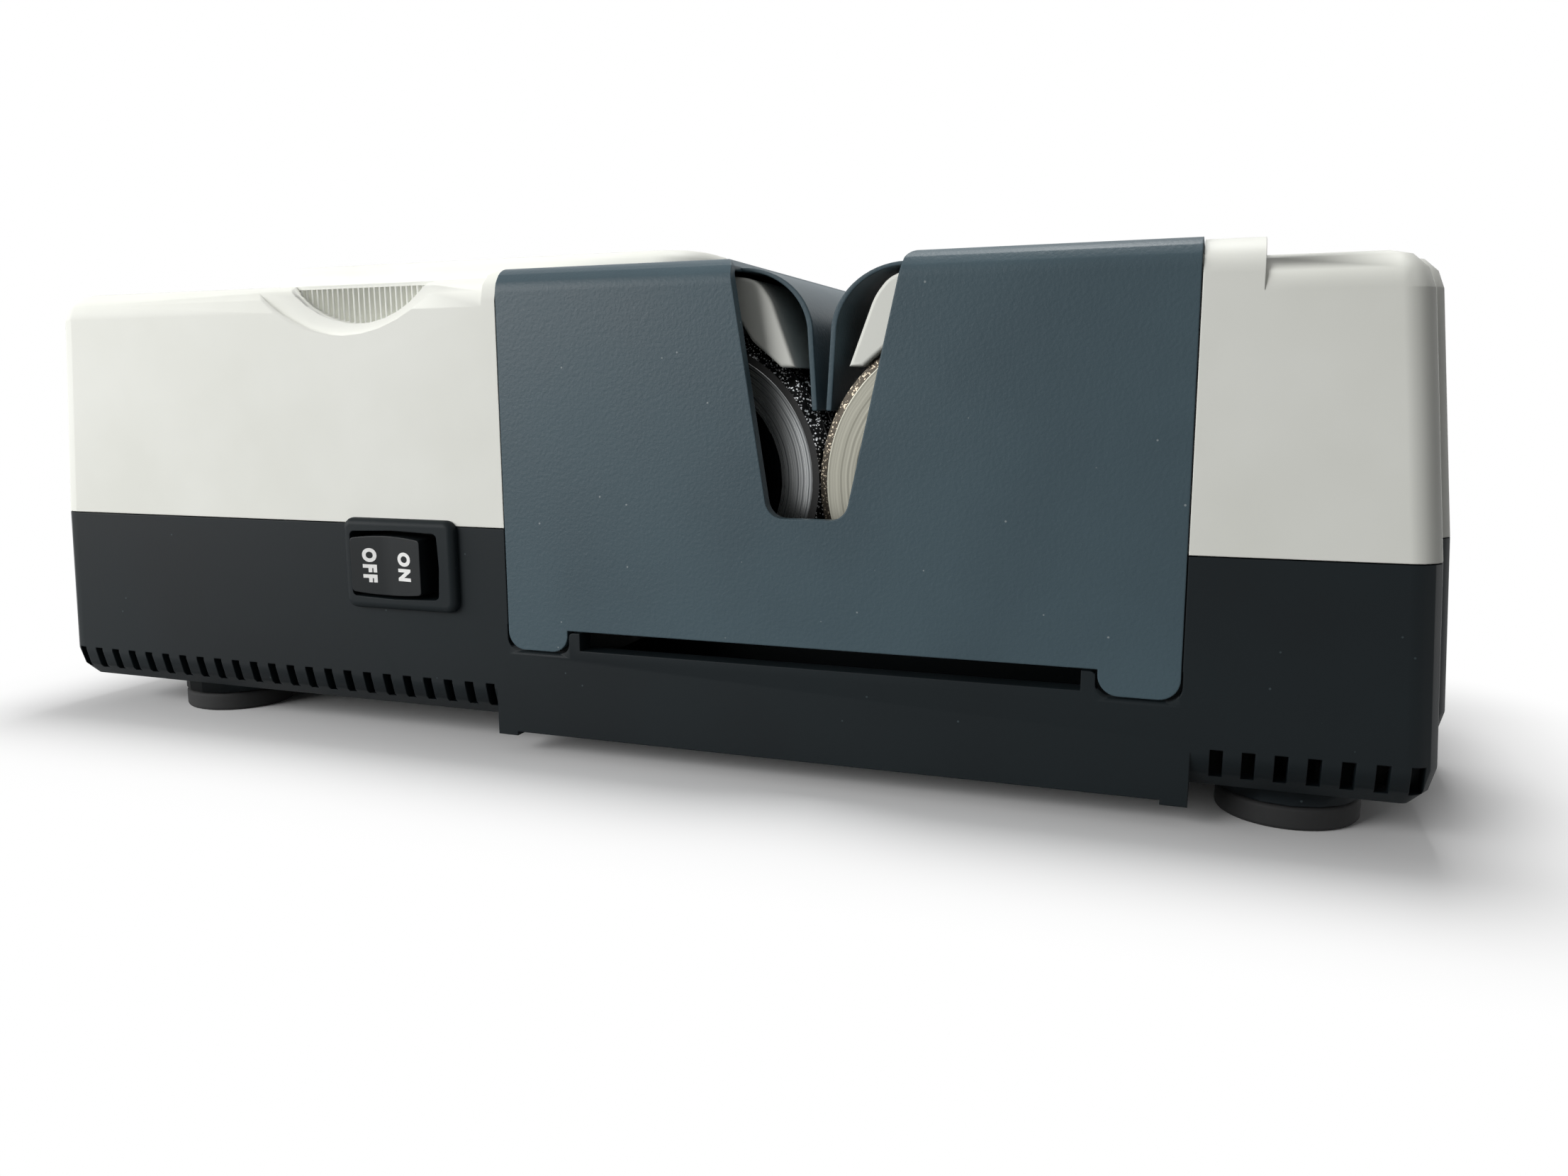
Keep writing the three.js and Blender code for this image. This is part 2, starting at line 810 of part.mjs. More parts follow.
// One side of the cover's top, with the fin that guides the blade
function finOutline(side, withFin) {
  const at = (halfGap, z) => new THREE.Vector2(blade.x + side * halfGap, z);
  const { kneeHalfGap, kneeLevel, flareHalfGap, flareLevel, tipHalfGap, tipLevel, thickness } = fin;
  const underside = flareLevel - fin.rootThickness;
  const edge = side > 0 ? cover.right - blade.x : blade.x - cover.left;
  const curve = (inset, rise) =>
    quarterSteps(curveSteps).map((a) => {
      const halfGap = flareHalfGap - (flareHalfGap - kneeHalfGap - inset) * Math.cos(a);
      return at(halfGap, kneeLevel + rise * Math.sin(a));
    });
  const topEdge = [at(fin.edgeHalfGap, cover.top), at(edge, cover.top), at(edge, underside)];
  if (!withFin) return [at(flareHalfGap, flareLevel), ...topEdge, at(flareHalfGap, underside)];
  return [
    at(tipHalfGap, tipLevel),
    ...curve(0, flareLevel - kneeLevel),
    ...topEdge,
    ...curve(thickness, underside - kneeLevel).reverse(),
    at(tipHalfGap + thickness, tipLevel),
  ];
}

function panelOutline() {
  const { left, right, top, bottom, tabWidth, tabBottom, tabRadius, topRadius } = cover;
  const { x, notchTopHalf, notchFloorHalf, notchFloor, notchRadius, lipRadius } = blade;
  return rounded([
    [left, tabBottom, tabRadius],
    [left + tabWidth, tabBottom, tabRadius],
    [left + tabWidth, bottom],
    [right - tabWidth, bottom],
    [right - tabWidth, tabBottom, tabRadius],
    [right, tabBottom, tabRadius],
    [right, top],
    [x + notchTopHalf, top, lipRadius],
    [x + notchFloorHalf, notchFloor, notchRadius],
    [x - notchFloorHalf, notchFloor, notchRadius],
    [x - notchTopHalf, top, lipRadius],
    [left, top, topRadius],
  ]);
}

function guideCover() {
  const half = body.halfDepth;
  const finEnd = half - fin.setBack;
  const panel = alongY(panelOutline(), -half, -half + cover.wall);
  const tops = [-1, 1].map((side) => alongY(finOutline(side, false), -half, half));
  const fins = [-1, 1].map((side) => alongY(finOutline(side, true), -finEnd, finEnd));
  const edges = rounded([
    [-half, 0],
    [half, 0],
    [half, cover.top, cover.edgeRadius],
    [-half, cover.top, cover.edgeRadius],
  ]);
  const reach = cover.right + overrun;
  const outside = alongX(edges, -reach, reach);
  const ridgeWide = ridge.halfWidth + gap;
  const ridgeEnd = ridge.right + gap;
  const underRidge = cover.top - 2 * cover.wall;
  const aboveCover = cover.top + overrun;
  const forRidge = box(cover.left - overrun, ridgeEnd, -ridgeWide, ridgeWide, underRidge, aboveCover);
  return cut(join(twin(panel), ...tops, ...fins).intersect(outside), forRidge);
}

// Wheel hood: its lip leans over the discs and its underside follows them
function wheelHood(side) {
  const at = ([halfGap, z, radius]) => [blade.x + side * halfGap, z, radius];
  const wheelX = disc.halfSpacing;
  const clear = disc.radius + hood.wheelClearance;
  const arcLevel = (halfGap) => disc.axisLevel + Math.sqrt(clear * clear - (halfGap - wheelX) ** 2);
  const under = [];
  for (let k = 0; k <= 2 * curveSteps; k++) {
    const halfGap = hood.reach - ((hood.reach - hood.tipOuter) * k) / (2 * curveSteps);
    under.push([halfGap, arcLevel(halfGap)]);
  }
  const outline = rounded(
    [
      [hood.tipInner, hood.tipLevel],
      [hood.shoulderReach, hood.shoulderLevel, hood.shoulderRadius],
      [hood.crownReach, hood.crownLevel, hood.crownRadius],
      [hood.flatReach, deck.top, hood.flatRadius],
      [hood.reach, deck.top],
      ...under,
    ].map(at),
  );
  const end = body.halfDepth - fin.setBack;
  const lip = alongY(outline, -end, end);
  const tongueTop = deck.top - deck.thickness - gap;
  const x0 = blade.x + side * (hood.reach - overrun);
  const x1 = blade.x + side * (hood.reach + hood.tongueReach);
  const tongue = box(
    Math.min(x0, x1),
    Math.max(x0, x1),
    -end + hood.tongueInset,
    end - hood.tongueInset,
    tongueTop - hood.tongueThickness,
    tongueTop,
  );
  return join(lip, tongue);
}

// Grinding discs and their shafts

const leftAxis = blade.x - disc.halfSpacing;
const rightAxis = blade.x + disc.halfSpacing;
const discPitch = 2 * (disc.width + disc.sideGap);

function discFace(side, index) {
  const first = side > 0 ? disc.firstFace : disc.firstFace + disc.width + disc.sideGap;
  return first + index * discPitch;
}

// Steel cup with an abrasive rim; the hub behind it spaces the next disc
function grindingDisc(side, index) {
  const y = discFace(side, index);
  const { radius, width, bevelWidth, gritInner, cupSlope, cupDepth, hubRadius } = disc;
  const bore = shaft.radius + gap;
  const x = side > 0 ? rightAxis : leftAxis;
  const ringInner = side > 0 ? disc.rightRingInner : disc.leftRingInner;
  const steps = index === 0 ? fineRound : midRound;
  const profile = [
    [bore, y + cupDepth],
    [ringInner - cupSlope, y + cupDepth],
    [ringInner, y],
    [gritInner, y],
    [radius, y + bevelWidth],
    [radius, y + width],
    [hubRadius, y + width],
    [hubRadius, y + discPitch + cupDepth - gap],
    [bore, y + discPitch + cupDepth - gap],
  ];
  return turnedY(profile, x, disc.axisLevel, steps);
}

function plateBack(front) {
  return front + bearingPlate.thickness;
}

function wheelShaft(side) {
  const { radius, collarRadius, noseLength } = shaft;
  const nose = discFace(side, 0) + disc.cupDepth - clampNut.thickness - gap - noseLength / 2;
  const stackEnd = discFace(side, disc.count - 1) + discPitch + disc.cupDepth;
  const collarEnd = bearingPlate.middleFront - gap;
  const tail = (side > 0 ? plateBack(bearingPlate.rearFront) : pulleyBack) + pulley.shaftBeyond;
  const profile = [
    [0, nose],
    [radius, nose],
    [radius, stackEnd],
    [collarRadius, stackEnd],
    [collarRadius, collarEnd],
    [radius, collarEnd],
    [radius, tail],
    [0, tail],
  ];
  return turnedY(profile, side > 0 ? rightAxis : leftAxis, disc.axisLevel, smallRound);
}

function clampNutSolid(side) {
  const back = discFace(side, 0) + disc.cupDepth - gap;
  const x = side > 0 ? rightAxis : leftAxis;
  const hexSides = 6;
  const hex = circle(x, disc.axisLevel, clampNut.acrossCorners, hexSides);
  const hole = circle(x, disc.axisLevel, shaft.radius + gap, smallRound);
  return alongY(hex, back - clampNut.thickness, back, [hole]);
}

function ring(x, z, inner, outer, y0, y1, steps = smallRound) {
  return alongY(circle(x, z, outer, steps), y0, y1, [circle(x, z, inner, steps)]);
}

function wheelBearingSolid(side, front) {
  const x = side > 0 ? rightAxis : leftAxis;
  return ring(x, disc.axisLevel, shaft.radius + runGap, wheelBearing.radius, front, plateBack(front));
}

// Plate that carries both shafts and the idler pins
function bearingPlateSolid(front) {
  const { halfWidth, bodyTop, earRadius, windowHalf, windowBottom, windowTop } = bearingPlate;
  const back = plateBack(front);
  const bottom = apronFloor + gap;
  const { x } = blade;
  const base = box(x - halfWidth, x + halfWidth, front, back, bottom, bodyTop);
  const through = [front - overrun, back + overrun];
  const axes = [leftAxis, rightAxis];
  const seatRadius = wheelBearing.radius + gap;
  const pinRoom = gear.pinRadius + runGap;
  const ears = axes.map((x0) => alongY(circle(x0, disc.axisLevel, earRadius), front, back));
  const seats = axes.map((x0) => alongY(circle(x0, disc.axisLevel, seatRadius, smallRound), ...through));
  const pins = idlerPlaces.map(([px, pz]) => alongY(circle(px, pz, pinRoom, coarseRound), ...through));
  const windows = axes.map((x0) => {
    return box(x0 - windowHalf, x0 + windowHalf, ...through, windowBottom, windowTop);
  });
  return cut(join(base, ...ears), ...seats, ...pins, ...windows);
}

// Gears

const idlerDrop = Math.sqrt((2 * gear.pitchRadius) ** 2 - (disc.halfSpacing - gear.pitchRadius) ** 2);
const idlerPlaces = [-1, 1].map((side) => [blade.x + side * gear.pitchRadius, disc.axisLevel - idlerDrop]);
const toothAngle = (2 * Math.PI) / gear.teeth;

// Angle of the line from one axis to the next
function heading([x0, z0], [x1, z1]) {
  return Math.atan2(z1 - z0, x1 - x0);
}

// Turn of each gear in the train, so that a tooth stands in the gap of the one before
function gearPhases() {
  const [leftIdler, rightIdler] = idlerPlaces;
  const train = [[leftAxis, disc.axisLevel], leftIdler, rightIdler, [rightAxis, disc.axisLevel]];
  const phases = [heading(train[0], train[1])];
  for (let k = 1; k < train.length; k++) {
    const line = heading(train[k - 1], train[k]);
    const turned = (line - phases[k - 1]) / toothAngle;
    const ahead = turned - Math.round(turned);
    phases.push(line + Math.PI + (ahead + 1 / 2) * toothAngle);
  }
  return phases;
}

function gearOutline(x, z, phase) {
  const { teeth, pitchRadius, addendum, dedendum, rootShare, tipShare } = gear;
  const points = [];
  for (let k = 0; k < teeth; k++) {
    const middle = phase + k * toothAngle;
    [
      [-rootShare, pitchRadius - dedendum],
      [-tipShare, pitchRadius + addendum],
      [tipShare, pitchRadius + addendum],
      [rootShare, pitchRadius - dedendum],
    ].forEach(([share, radius]) => {
      const angle = middle + share * toothAngle;
      points.push(new THREE.Vector2(x + radius * Math.cos(angle), z + radius * Math.sin(angle)));
    });
  }
  return points;
}

function shaftGear(x, phase) {
  const bore = circle(x, disc.axisLevel, shaft.radius + gap, midRound);
  return alongY(gearOutline(x, disc.axisLevel, phase), gear.front, gear.front + gear.width, [bore]);
}

// Idler gear with its pins, which turn in the two bearing plates
function idlerGear([x, z], phase) {
  const back = gear.front + gear.width;
  const middle = bearingPlate.thickness / 2;
  const wheel = alongY(gearOutline(x, z, phase), gear.front, back);
  const pinFront = bearingPlate.middleFront + middle;
  const pinBack = bearingPlate.rearFront + middle;
  return join(wheel, alongY(circle(x, z, gear.pinRadius, coarseRound), pinFront, pinBack));
}

// Belt drive

const pulleyBack = belt.front + belt.width + gap + belt.flangeWidth;

function beltPulley(x, z, radius, bore) {
  const front = belt.front - gap;
  const back = belt.front + belt.width + gap;
  const flange = radius + belt.thickness + belt.flangeHeight;
  const profile = [
    [bore, front - belt.flangeWidth],
    [flange, front - belt.flangeWidth],
    [flange, front],
    [radius, front],
    [radius, back],
    [flange, back],
    [flange, back + belt.flangeWidth],
    [bore, back + belt.flangeWidth],
  ];
  return turnedY(profile, x, z);
}

function driveBelt() {
  const round = (extra) =>
    loop(
      motor.x,
      motor.axisLevel,
      pulley.driveRadius + gap + extra,
      leftAxis,
      disc.axisLevel,
      pulley.drivenRadius + gap + extra,
    );
  return alongY(round(belt.thickness), belt.front, belt.front + belt.width, [round(0)]);
}

// Motor

const coreBack = motor.coreFront + motor.coreLength;

function statorCore() {
  const { x, axisLevel, radius, boreRadius, slots, slotDepth, slotShare } = motor;
  const bore = [];
  const pitch = (2 * Math.PI) / slots;
  const at = (r, angle) => new THREE.Vector2(x + r * Math.cos(angle), axisLevel + r * Math.sin(angle));
  for (let k = 0; k < slots; k++) {
    const middle = k * pitch;
    const half = (slotShare * pitch) / 2;
    bore.push(at(boreRadius, middle - half), at(boreRadius + slotDepth, middle - half));
    bore.push(at(boreRadius + slotDepth, middle + half), at(boreRadius, middle + half));
  }
  return alongY(circle(x, axisLevel, radius), motor.coreFront, coreBack, [bore]);
}

function windingEnd(y0, y1) {
  const { windingInner, windingOuter, windingRound, x, axisLevel } = motor;
  const shoulder = y1 - Math.sign(y1 - y0) * windingRound;
  const profile = [
    [windingInner, y0],
    [windingOuter, y0],
    [windingOuter, shoulder],
    [windingOuter - windingRound, y1],
    [windingInner + windingRound, y1],
    [windingInner, shoulder],
  ];
  return turnedY(profile, x, axisLevel);
}

// End bell: a shallow cup with a bearing seat and air ports; outward is its closed side
function endBell(y0, outward) {
  const { x, axisLevel, radius, bellDepth, bellWall, hubWall, bearingRadius, bearingWidth } = motor;
  const { bellPorts, portInner, portOuter, portShare } = motor;
  const end = y0 + outward * bellDepth;
  const seat = bearingRadius + gap;
  const profile = [
    [radius - bellWall, y0],
    [radius, y0],
    [radius, end],
    [seat, end],
    [seat, end - outward * (bearingWidth + gap)],
    [seat + hubWall, end - outward * (bearingWidth + gap)],
    [seat + hubWall, end - outward * bellWall],
    [radius - bellWall, end - outward * bellWall],
  ];
  const ports = [];
  for (let k = 0; k < bellPorts; k++) {
    const pitch = (2 * Math.PI) / bellPorts;
    const from = k * pitch;
    const to = from + pitch * portShare;
    const outline = [
      ...arc(x, axisLevel, portOuter, portOuter, from, to, portSteps),
      ...arc(x, axisLevel, portInner, portInner, to, from, portSteps),
    ];
    const y1 = end - outward * (bellWall + overrun);
    const y2 = end + outward * overrun;
    ports.push(alongY(outline, Math.min(y1, y2), Math.max(y1, y2)));
  }
  return cut(turnedY(profile, x, axisLevel), ...ports);
}

function motorBearing(end, outward) {
  const y1 = end - outward * gap;
  const y2 = y1 - outward * motor.bearingWidth;
  const { x, axisLevel, shaftRadius, bearingRadius } = motor;
  return ring(x, axisLevel, shaftRadius + runGap, bearingRadius, Math.min(y1, y2), Math.max(y1, y2));
}

const frontBellEnd = motor.coreFront - gap - motor.bellDepth;
const rearBellEnd = coreBack + gap + motor.bellDepth;

function rotor() {
  const { x, axisLevel, boreRadius, airGap, shaftRadius, rotorEnd } = motor;
  const profile = [
    [0, frontBellEnd - fan.height - overrun],
    [shaftRadius, frontBellEnd - fan.height - overrun],
    [shaftRadius, motor.coreFront - rotorEnd],
    [boreRadius - airGap, motor.coreFront - rotorEnd],
    [boreRadius - airGap, coreBack + rotorEnd],
    [shaftRadius, coreBack + rotorEnd],
    [shaftRadius, pulleyBack + pulley.shaftBeyond],
    [0, pulleyBack + pulley.shaftBeyond],
  ];
  return turnedY(profile, x, axisLevel);
}

function coolingFan() {
  const { x, axisLevel, shaftRadius } = motor;
  const back = frontBellEnd - overrun;
  const front = back - fan.height;
  const bore = shaftRadius + gap;
  const profile = [
    [bore, front],
    [fan.hubRadius, front],
    [fan.hubRadius, back - fan.plate],
    [fan.radius, back - fan.plate],
    [fan.radius, back],
    [bore, back],
  ];
  const disk = turnedY(profile, x, axisLevel);
  const blades = [];
  for (let k = 0; k < fan.blades; k++) {
    const half = fan.bladeThickness / 2;
    const blade = box(fan.bladeRoot, fan.radius, front, back - fan.plate / 2, -half, half);
    blades.push(blade.rotate([0, (360 * k) / fan.blades, 0]).translate([x, 0, axisLevel]));
  }
  return join(disk, ...blades);
}

function motorCradle() {
  const { halfWidth, front, back, top, windowHalf, windowTop } = cradle;
  const { x, axisLevel, radius } = motor;
  const bottom = floorInside + gap;
  const block = box(x - halfWidth, x + halfWidth, front, back, bottom, top);
  const seat = alongY(circle(x, axisLevel, radius + gap, fineRound), front - overrun, back + overrun);
  const inner = halfWidth - windowHalf;
  const sill = bottom + windowTop / 2;
  const reach = windowHalf / 2;
  const windows = [-1, 1].map((side) => {
    const centre = x + side * inner;
    return box(centre - reach, centre + reach, front - overrun, back + overrun, sill, bottom + windowTop);
  });
  return cut(block, seat, ...windows);
}

// Electrical parts

const capacitorLevel = floorInside + gap + capacitor.clampWall + gap + capacitor.radius;

function runCapacitor() {
  const { x, y, radius, length } = capacitor;
  return alongX(circle(y, capacitorLevel, radius), x - length / 2, x + length / 2);
}

// Strap with two feet on the floor
function capacitorClamp() {
  const { x, y, radius, clampWall, clampWidth, clampFoot } = capacitor;
  const inner = radius + gap;
  const outer = inner + clampWall;
  const bottom = floorInside + gap;
  const x0 = x - clampWidth / 2;
  const x1 = x + clampWidth / 2;
  const strap = alongX(circle(y, capacitorLevel, outer), x0, x1);
  const sides = box(x0, x1, y - outer, y + outer, bottom, capacitorLevel);
  const feet = box(x0, x1, y - outer - clampFoot, y + outer, bottom, bottom + clampWall);
  const room = alongX(circle(y, capacitorLevel, inner), x0 - overrun, x1 + overrun);
  return cut(join(strap, sides, feet), room);
}

function terminalBlock() {
  const { x, y, length, depth, height, screwRadius, screwPitch, screwDepth } = terminal;
  const bottom = apronFloor + gap;
  const top = bottom + height;
  const block = box(x - length / 2, x + length / 2, y - depth / 2, y + depth / 2, bottom, top);
  const screws = [-1, 0, 1].map((k) => {
    return pillar(x + k * screwPitch, y, screwRadius, top - screwDepth, top + overrun);
  });
  return cut(block, ...screws);
}

function cordGland() {
  const { z, flangeRadius, flangeThickness, sleeveRadius, boreRadius, inside } = gland;
  const face = body.halfDepth + gap;
  const profile = [
    [boreRadius, face - inside - gap],
    [sleeveRadius, face - inside - gap],
    [sleeveRadius, face],
    [flangeRadius, face],
    [flangeRadius, face + flangeThickness],
    [boreRadius, face + flangeThickness],
  ];
  return turnedY(profile, glandX, z, smallRound);
}

function filingsTray() {
  const { halfLength, front, back, wall, height } = tray;
  const bottom = apronFloor + gap;
  const { x } = blade;
  const outer = box(x - halfLength, x + halfLength, front, back, bottom, bottom + height);
  const inner = box(
    x - halfLength + wall,
    x + halfLength - wall,
    front + wall,
    back - wall,
    bottom + wall,
    bottom + height + overrun,
  );
  return cut(outer, inner);
}

// Rocker switch

const rockerFace = -body.halfDepth - bezel.proud + rocker.faceDepth;
const rockerPivot = rockerFace + rocker.pivotDepth;
const tilt = THREE.MathUtils.degToRad(rocker.tilt);

function bezelSleeveSpan(extra) {
  const half = rocker.halfLength + rocker.endRoom + bezel.sleeveWall + extra;
  return [rocker.x - half, rocker.x + half];
}

function bezelSleeveRise(extra) {
  const half = rocker.halfHeight + runGap + bezel.sleeveWall + extra;
  return [rocker.z - half, rocker.z + half];
}

function switchBezel() {
  const { halfLength, halfHeight, centreX, centreZ, proud, radius, sleeveDepth } = bezel;
  const face = -body.halfDepth;
  const plate = alongY(
    rounded([
      [centreX - halfLength, centreZ - halfHeight, radius],
      [centreX + halfLength, centreZ - halfHeight, radius],
      [centreX + halfLength, centreZ + halfHeight, radius],
      [centreX - halfLength, centreZ + halfHeight, radius],
    ]),
    face - proud,
    face - gap,
  );
  const sleeve = box(...bezelSleeveSpan(0), face - proud / 2, face + sleeveDepth, ...bezelSleeveRise(0));
  const openX = rocker.halfLength + rocker.endRoom;
  const openZ = rocker.halfHeight + runGap;
  const { x, z } = rocker;
  const through = [face - proud - overrun, face + sleeveDepth + overrun];
  const opening = box(x - openX, x + openX, ...through, z - openZ, z + openZ);
  const pinHole = pillar(
    x,
    rockerPivot,
    rocker.pinRadius + runGap,
    z - rocker.halfHeight - rocker.pinLength - runGap,
    z + rocker.halfHeight + rocker.pinLength + runGap,
  );
  return cut(join(plate, sleeve), opening, pinHole);
}

// Rocker at rest: its OFF half lies flat and its ON half stands out
function switchRocker() {
  const { x, z, halfLength, halfHeight, pivotDepth, back, backHalf, pinRadius, pinLength } = rocker;
  const rise = halfLength * Math.tan(tilt);
  const turned = ([px, py]) => {
    const vector = new THREE.Vector2(px, py).rotateAround(new THREE.Vector2(0, 0), -tilt);
    return new THREE.Vector2(x + vector.x, rockerPivot + vector.y);
  };
  const outline = [
    [0, -pivotDepth],
    [halfLength, -pivotDepth - rise],
    [halfLength, 0],
    [backHalf, back - pivotDepth / 2],
    [-backHalf, back - pivotDepth / 2],
    [-halfLength, 0],
    [-halfLength, -pivotDepth - rise],
  ].map(turned);
  const paddle = alongZ(outline, z - halfHeight, z + halfHeight);
  const pins = pillar(x, rockerPivot, pinRadius, z - halfHeight - pinLength, z + halfHeight + pinLength);
  return join(paddle, pins);
}

// Feet and screws

function rubberFoot(x, y) {
  const { radius, height, chamfer, counterRadius, counterDepth } = foot;
  const bore = footScrew.shankRadius + gap;
  const profile = [
    [counterRadius, 0],
    [radius - chamfer, 0],
    [radius, chamfer],
    [radius, height],
    [bore, height],
    [bore, counterDepth],
    [counterRadius, counterDepth],
  ];
  return turnedZ(profile, x, y, footRound);
}

function footScrewSolid(x, y) {
  const { headRadius, headHeight, shankRadius, length } = footScrew;
  const seat = foot.counterDepth - gap;
  const profile = [
    [0, seat - headHeight],
    [headRadius, seat - headHeight],
    [headRadius, seat],
    [shankRadius, seat],
    [shankRadius, seat + length - 2 * gap],
    [0, seat + length - 2 * gap],
  ];
  return turnedZ(profile, x, y, coarseRound);
}

function caseScrewSolid(x, y) {
  const { headRadius, headHeight, shankRadius, seatLevel, reach } = caseScrew;
  const seat = seatLevel - gap;
  const profile = [
    [0, seat - headHeight],
    [headRadius, seat - headHeight],
    [headRadius, seat],
    [shankRadius, seat],
    [shankRadius, seat + reach],
    [0, seat + reach],
  ];
  return turnedZ(profile, x, y, coarseRound);
}

// The assembly

const assembly = new THREE.Group();

function place(name, form, material) {
  const { vertProperties, triVerts } = form.getMesh();
  const geometry = new THREE.BufferGeometry();
  geometry.setAttribute("position", new THREE.BufferAttribute(vertProperties, 3));
  geometry.setIndex(new THREE.BufferAttribute(triVerts, 1));
  const flat = geometry.toNonIndexed();
  flat.computeVertexNormals();
  const mesh = new THREE.Mesh(flat, material);
  mesh.name = name;
  assembly.add(mesh);
}

place("lower_housing", lowerHousing(), black);
place("upper_housing", upperHousing(), white);
place("guide_cover", guideCover(), slate);
place("left_wheel_hood", wheelHood(-1), white);
place("right_wheel_hood", wheelHood(1), white);
place("switch_bezel", switchBezel(), black);
place("switch_rocker", switchRocker(), black);
place("cord_gland", cordGland(), rubber);

feetPlaces.forEach(([where, x, y]) => {
  place(`foot_${where}`, rubberFoot(x, y), rubber);
  place(`foot_screw_${where}`, footScrewSolid(x, y), steel);
});
casePlaces.forEach(([where, x, y]) => place(`case_screw_${where}`, caseScrewSolid(x, y), steel));

[
  ["left", -1],
  ["right", 1],
].forEach(([name, side]) => {
  for (let k = 0; k < disc.count; k++) place(`${name}_disc_${k + 1}`, grindingDisc(side, k), steel);
  place(`${name}_wheel_shaft`, wheelShaft(side), steel);
  place(`${name}_clamp_nut`, clampNutSolid(side), steel);
  place(`${name}_middle_bearing`, wheelBearingSolid(side, bearingPlate.middleFront), steel);
  place(`${name}_rear_bearing`, wheelBearingSolid(side, bearingPlate.rearFront), steel);
});
place("middle_bearing_plate", bearingPlateSolid(bearingPlate.middleFront), steel);
place("rear_bearing_plate", bearingPlateSolid(bearingPlate.rearFront), steel);

const [leftPhase, leftIdlerPhase, rightIdlerPhase, rightPhase] = gearPhases();
place("left_gear", shaftGear(leftAxis, leftPhase), nylon);
place("left_idler_gear", idlerGear(idlerPlaces[0], leftIdlerPhase), nylon);
place("right_idler_gear", idlerGear(idlerPlaces[1], rightIdlerPhase), nylon);
place("right_gear", shaftGear(rightAxis, rightPhase), nylon);
const { driveRadius, drivenRadius } = pulley;
place("driven_pulley", beltPulley(leftAxis, disc.axisLevel, drivenRadius, shaft.radius + gap), nylon);
place("drive_pulley", beltPulley(motor.x, motor.axisLevel, driveRadius, motor.shaftRadius + gap), nylon);
place("drive_belt", driveBelt(), rubber);

place("motor_stator_core", statorCore(), steel);
const windingFront = motor.coreFront - gap;
const windingBack = coreBack + gap;
place("motor_winding_front", windingEnd(windingFront, windingFront - motor.windingLength), copper);
place("motor_winding_rear", windingEnd(windingBack, windingBack + motor.windingLength), copper);
place("motor_front_bell", endBell(motor.coreFront - gap, -1), steel);
place("motor_rear_bell", endBell(coreBack + gap, 1), steel);
place("motor_front_bearing", motorBearing(frontBellEnd, -1), steel);
place("motor_rear_bearing", motorBearing(rearBellEnd, 1), steel);
place("motor_rotor", rotor(), steel);
place("cooling_fan", coolingFan(), nylon);
place("motor_cradle", motorCradle(), black);
place("run_capacitor", runCapacitor(), nylon);
place("capacitor_clamp", capacitorClamp(), steel);
place("terminal_block", terminalBlock(), nylon);
place("filings_tray", filingsTray(), black);

// The origin is on the floor, in the middle of the whole outline
const bounds = new THREE.Box3().setFromObject(assembly);
const middle = bounds.getCenter(new THREE.Vector3());
assembly.position.set(-middle.x, -middle.y, -bounds.min.z);

const sharpener = new THREE.Group();
sharpener.name = "electric_knife_sharpener";
sharpener.add(assembly);

export default sharpener;
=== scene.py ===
"""Looks of an electric knife sharpener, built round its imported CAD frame."""

import json
import logging
import math
from collections.abc import Callable, Iterator
from contextlib import contextmanager
from dataclasses import dataclass
from enum import Enum

import bmesh
import bpy
from mathutils import Matrix, Vector

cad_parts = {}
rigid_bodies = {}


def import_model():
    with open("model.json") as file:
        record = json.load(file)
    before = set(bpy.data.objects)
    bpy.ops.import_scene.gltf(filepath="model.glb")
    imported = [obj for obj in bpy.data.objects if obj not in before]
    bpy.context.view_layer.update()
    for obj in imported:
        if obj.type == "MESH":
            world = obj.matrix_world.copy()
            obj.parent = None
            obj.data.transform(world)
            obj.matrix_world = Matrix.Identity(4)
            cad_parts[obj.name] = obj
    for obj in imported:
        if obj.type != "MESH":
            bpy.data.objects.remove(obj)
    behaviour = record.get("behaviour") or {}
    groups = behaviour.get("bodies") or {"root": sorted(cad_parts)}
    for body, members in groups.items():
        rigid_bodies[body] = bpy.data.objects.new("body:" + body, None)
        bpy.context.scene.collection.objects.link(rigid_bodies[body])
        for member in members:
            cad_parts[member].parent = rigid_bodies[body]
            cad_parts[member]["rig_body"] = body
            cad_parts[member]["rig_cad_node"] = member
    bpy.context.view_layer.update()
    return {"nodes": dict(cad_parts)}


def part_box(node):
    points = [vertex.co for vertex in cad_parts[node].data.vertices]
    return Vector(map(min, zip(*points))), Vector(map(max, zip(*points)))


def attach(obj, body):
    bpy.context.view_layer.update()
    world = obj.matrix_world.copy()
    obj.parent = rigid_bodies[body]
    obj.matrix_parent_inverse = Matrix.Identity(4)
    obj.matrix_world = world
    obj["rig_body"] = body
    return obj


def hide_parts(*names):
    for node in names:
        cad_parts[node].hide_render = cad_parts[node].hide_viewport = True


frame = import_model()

log = logging.getLogger("sharpener")

MM = 0.001
FULL_TURN = math.tau
SMOOTH_ANGLE = math.radians(35)
# The least turn between two faces, in radians, at which an edge counts as sharp
SHARP = 1.0
# How near an edge lies to the place it is picked by, in millimetres
CLOSE = 0.01
NEAR = 0.1
# How far a cutter reaches past the face it cuts, in millimetres
PAST = 1.0
# Places that several sub-assemblies share, in millimetres
BLADE_X = 51.25
MIDDLE_Y = 1.3384
BODY_FRONT = -63.662
LEFT_AXIS = (13.5, 76.0)
RIGHT_AXIS = (89.0, 76.0)
# Refractive index of ABS
ABS_IOR = 1.53
Corner = tuple[float, float] | tuple[float, float, float]


